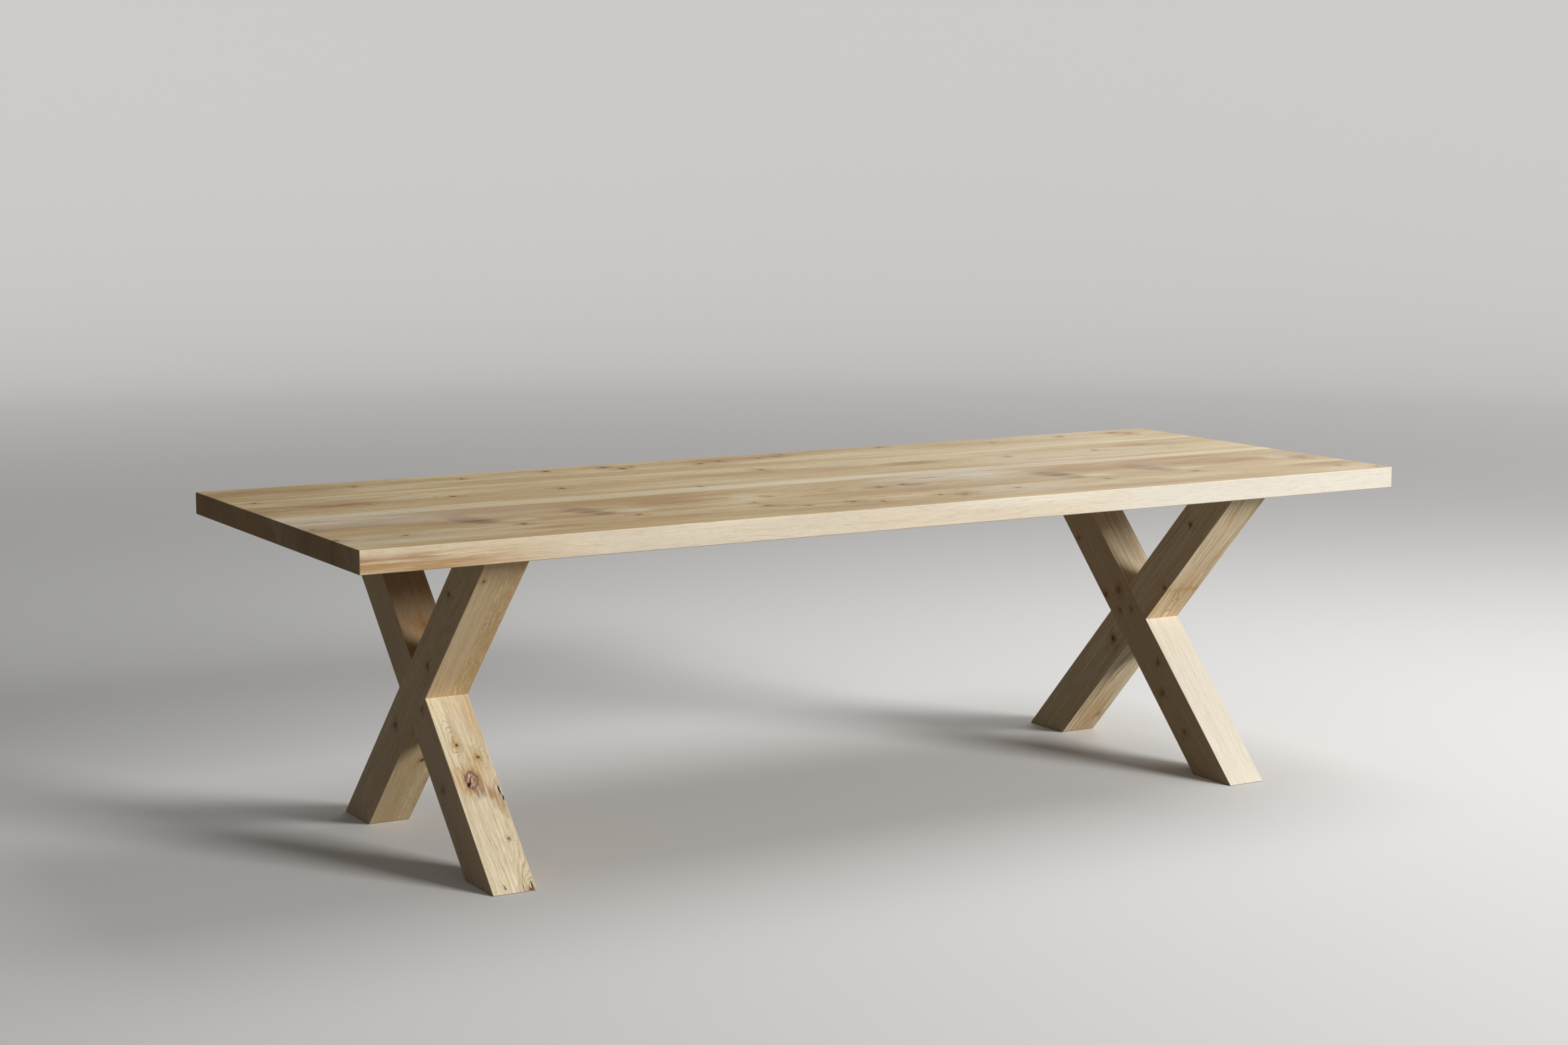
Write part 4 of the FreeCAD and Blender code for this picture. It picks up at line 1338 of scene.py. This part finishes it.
line = shape("MeshToCurve", {"Mesh": given["Half profile"]})
axis = shape("CurvePrimitiveCircle", {"Resolution": given["Sides"], "Radius": AXIS_RADIUS})
turned = shape("CurveToMesh", {"Curve": axis, "Profile Curve": line})
turned = shape("MergeByDistance", {"Geometry": turned, "Distance": MERGE_GAP})
turned = shape("FlipFaces", {"Mesh": turned})
bar_radius = given["Socket width"] * (1 / math.sqrt(3))
bar = {"Vertices": 6, "Radius": bar_radius, "Depth": given["Socket depth"] * 2.0}
cut = shape("MeshBoolean", {"Mesh 1": turned, "Mesh 2": shape("MeshCylinder", bar)}, operation="DIFFERENCE")
choice = {"Switch": given["Has socket"], "False": turned, "True": cut}
one = shape("Switch", choice, input_type="GEOMETRY")
print("nodes in the turning tree:", len(turner.nodes))

# %% [markdown]
# The part is set on the points of a grid. Such copies only refer to one mesh, so they are made real, as
# plain faces of their own, and then take their finish.

# %% Repeat the part over its grid
spread = {
    "Size X": given["Row gap"] * (given["Rows"] - 1.0),
    "Size Y": given["Column gap"] * (given["Columns"] - 1.0),
    "Vertices X": given["Rows"],
    "Vertices Y": given["Columns"],
}
grid = shape("Transform", {"Geometry": shape("MeshGrid", spread), "Translation": given["Centre"]})
parts = shape("InstanceOnPoints", {"Points": grid, "Instance": one})
parts = shape("RealizeInstances", {"Geometry": parts})
parts = shape("SetMaterial", {"Geometry": parts, "Material": given["Finish"]})
join(turner.nodes.new("NodeGroupOutput"), {"Parts": parts})
print("nodes in the turning tree:", len(turner.nodes))

# %% [markdown]
# The profiles are in millimetres. A thread is drawn as ridges, one after another. A real thread climbs
# as a spiral, but on a part that sits inside wood and brass, nobody could tell.

# %% Draw the profiles


def ridges(start, end, pitch, crest, root):
    """Points of a ridged length between two heights."""
    count = round(abs(end - start) / pitch)
    step = (end - start) / count
    points = []
    for turn in range(count):
        points += [(root, start + step * turn), (crest, start + step * (turn + 0.5))]
    return [*points, (root, end)]


def bolt_profile(length):
    """A socket bolt from the foot of its head up, with its end at the given length."""
    head = [(0, 0), (5.7, 0), (6.6, 0.4), (7, 1.2), (7, 4.4), (4, 4.4), (4, 8.4)]
    return [*head, *ridges(9, length - 1, 1.25, 4, 3.4), (3, length), (0, length)]


def profile_line(points, closed):
    """A half-profile as a line of points, drawn as turning sees it: out along x and up along -y."""
    line = bmesh.new()
    corners = [line.verts.new((out / 1000, -up / 1000, 0)) for out, up in points]
    for here, after in zip(corners, corners[1:] + corners[:1] * closed):
        line.edges.new((here, after))
    return new_mesh("half_profile", line)


WASHER = [(4.25, 0), (9.8, 0), (10, 0.2), (10, 1.4), (9.8, 1.6), (4.25, 1.6)]
INSERT = [(4.1, 0), (5.6, 0), *ridges(0.8, 14.4, 2.2, 6, 5.2), (5.0, 15), (4.1, 15)]
SCREW = [(0, -70), (1.4, -67), *ridges(-62, -21, 3.4, 4, 2.7), (3.6, -20), (3.6, -6), (4, -4.6)]
SCREW += [(8, -0.5), (8, -0.3), (7.7, 0), (0, 0)]
PART_KINDS = {
    "plate bolt": {"points": bolt_profile(29.4), "width": 14, "socket": (5, 2.6)},
    "channel bolt": {"points": bolt_profile(34.4), "width": 14, "socket": (5, 2.6)},
    "washer": {"points": WASHER, "width": 20, "ring": True},
    "insert": {"points": INSERT, "width": 12, "ring": True, "finish": brass, "slot": "brass_inserts"},
    "screw": {"points": SCREW, "width": 16, "socket": (5, 3), "hangs": True},
}
USUAL_PART = {"socket": None, "ring": False, "hangs": False, "finish": zinc, "slot": "zinc_fasteners"}
print("kinds of turned parts:", ", ".join(PART_KINDS))

# %% [markdown]
# A set of parts is read from the solids it stands for: its place from their box, and its gaps from the
# box's size less one part's width. The tree's result is then turned into a plain mesh, because
# nothing that repeats should be left live in a finished piece.

# %% Make a set of turned parts
SIDES = 32
SHARP_FROM = math.radians(35)


def turned_set(name, node, kind, rows, columns):
    """A set of turned parts in the place of a group of solids."""
    part = USUAL_PART | PART_KINDS[kind]
    low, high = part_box(node)
    start = new_object("half_profile", profile_line(part["points"], part["ring"]))
    live = start.modifiers.new("turn", "NODES")
    live.node_group = turner
    width = part["width"] / 1000
    socket_width, socket_depth = metres(part["socket"] or (1, 1))
    inputs = {
        "Sides": SIDES,
        "Rows": rows,
        "Columns": columns,
        "Row gap": (high.x - low.x - width) / max(rows - 1, 1),
        "Column gap": (high.y - low.y - width) / max(columns - 1, 1),
        "Centre": ((low.x + high.x) / 2, (low.y + high.y) / 2, high.z if part["hangs"] else low.z),
        "Has socket": part["socket"] is not None,
        "Socket width": socket_width,
        "Socket depth": socket_depth,
        "Finish": part["finish"],
    }
    for item in turner.interface.items_tree:
        if item.in_out == "INPUT" and item.name in inputs:
            live[item.identifier] = inputs[item.name]
    evaluated = start.evaluated_get(bpy.context.evaluated_depsgraph_get())
    mesh = bpy.data.meshes.new_from_object(evaluated)
    bpy.data.objects.remove(start)
    mesh.name = name
    mesh.materials.clear()
    mesh.materials.append(part["finish"])
    mesh.shade_smooth()
    mesh.set_sharp_from_angle(angle=SHARP_FROM)
    made = new_object(name, mesh)
    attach(made, "root")
    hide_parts(node)
    print(made.name, "has", len(made.data.polygons), "faces")


print("usual finish of a part:", USUAL_PART["finish"].name)

# %% [markdown]
# Each plate has two rows of three bolts, with a washer and an insert for each, and each beam head has
# four screws. The channel has one row of four bolts.

# %% Make every set
for side in ("left", "right"):
    turned_set(f"{side}_bolts", f"{side}_plate_bolts", "plate bolt", 2, 3)
    turned_set(f"{side}_washers", f"{side}_plate_washers", "washer", 2, 3)
    turned_set(f"{side}_inserts", f"{side}_plate_inserts", "insert", 2, 3)
    for end in ("back", "front"):
        turned_set(f"{side}_screws_{end}", f"{side}_plate_screws_{end}", "screw", 2, 2)
turned_set("middle_bolts", "channel_bolts", "channel bolt", 1, 4)
turned_set("middle_washers", "channel_washers", "washer", 1, 4)
turned_set("middle_inserts", "channel_inserts", "insert", 1, 4)

# %% [markdown]
# ## Plain colours
#
# Last, the colours are shown plainly, with no film look laid over them.

bpy.context.scene.view_settings.view_transform = "Standard"
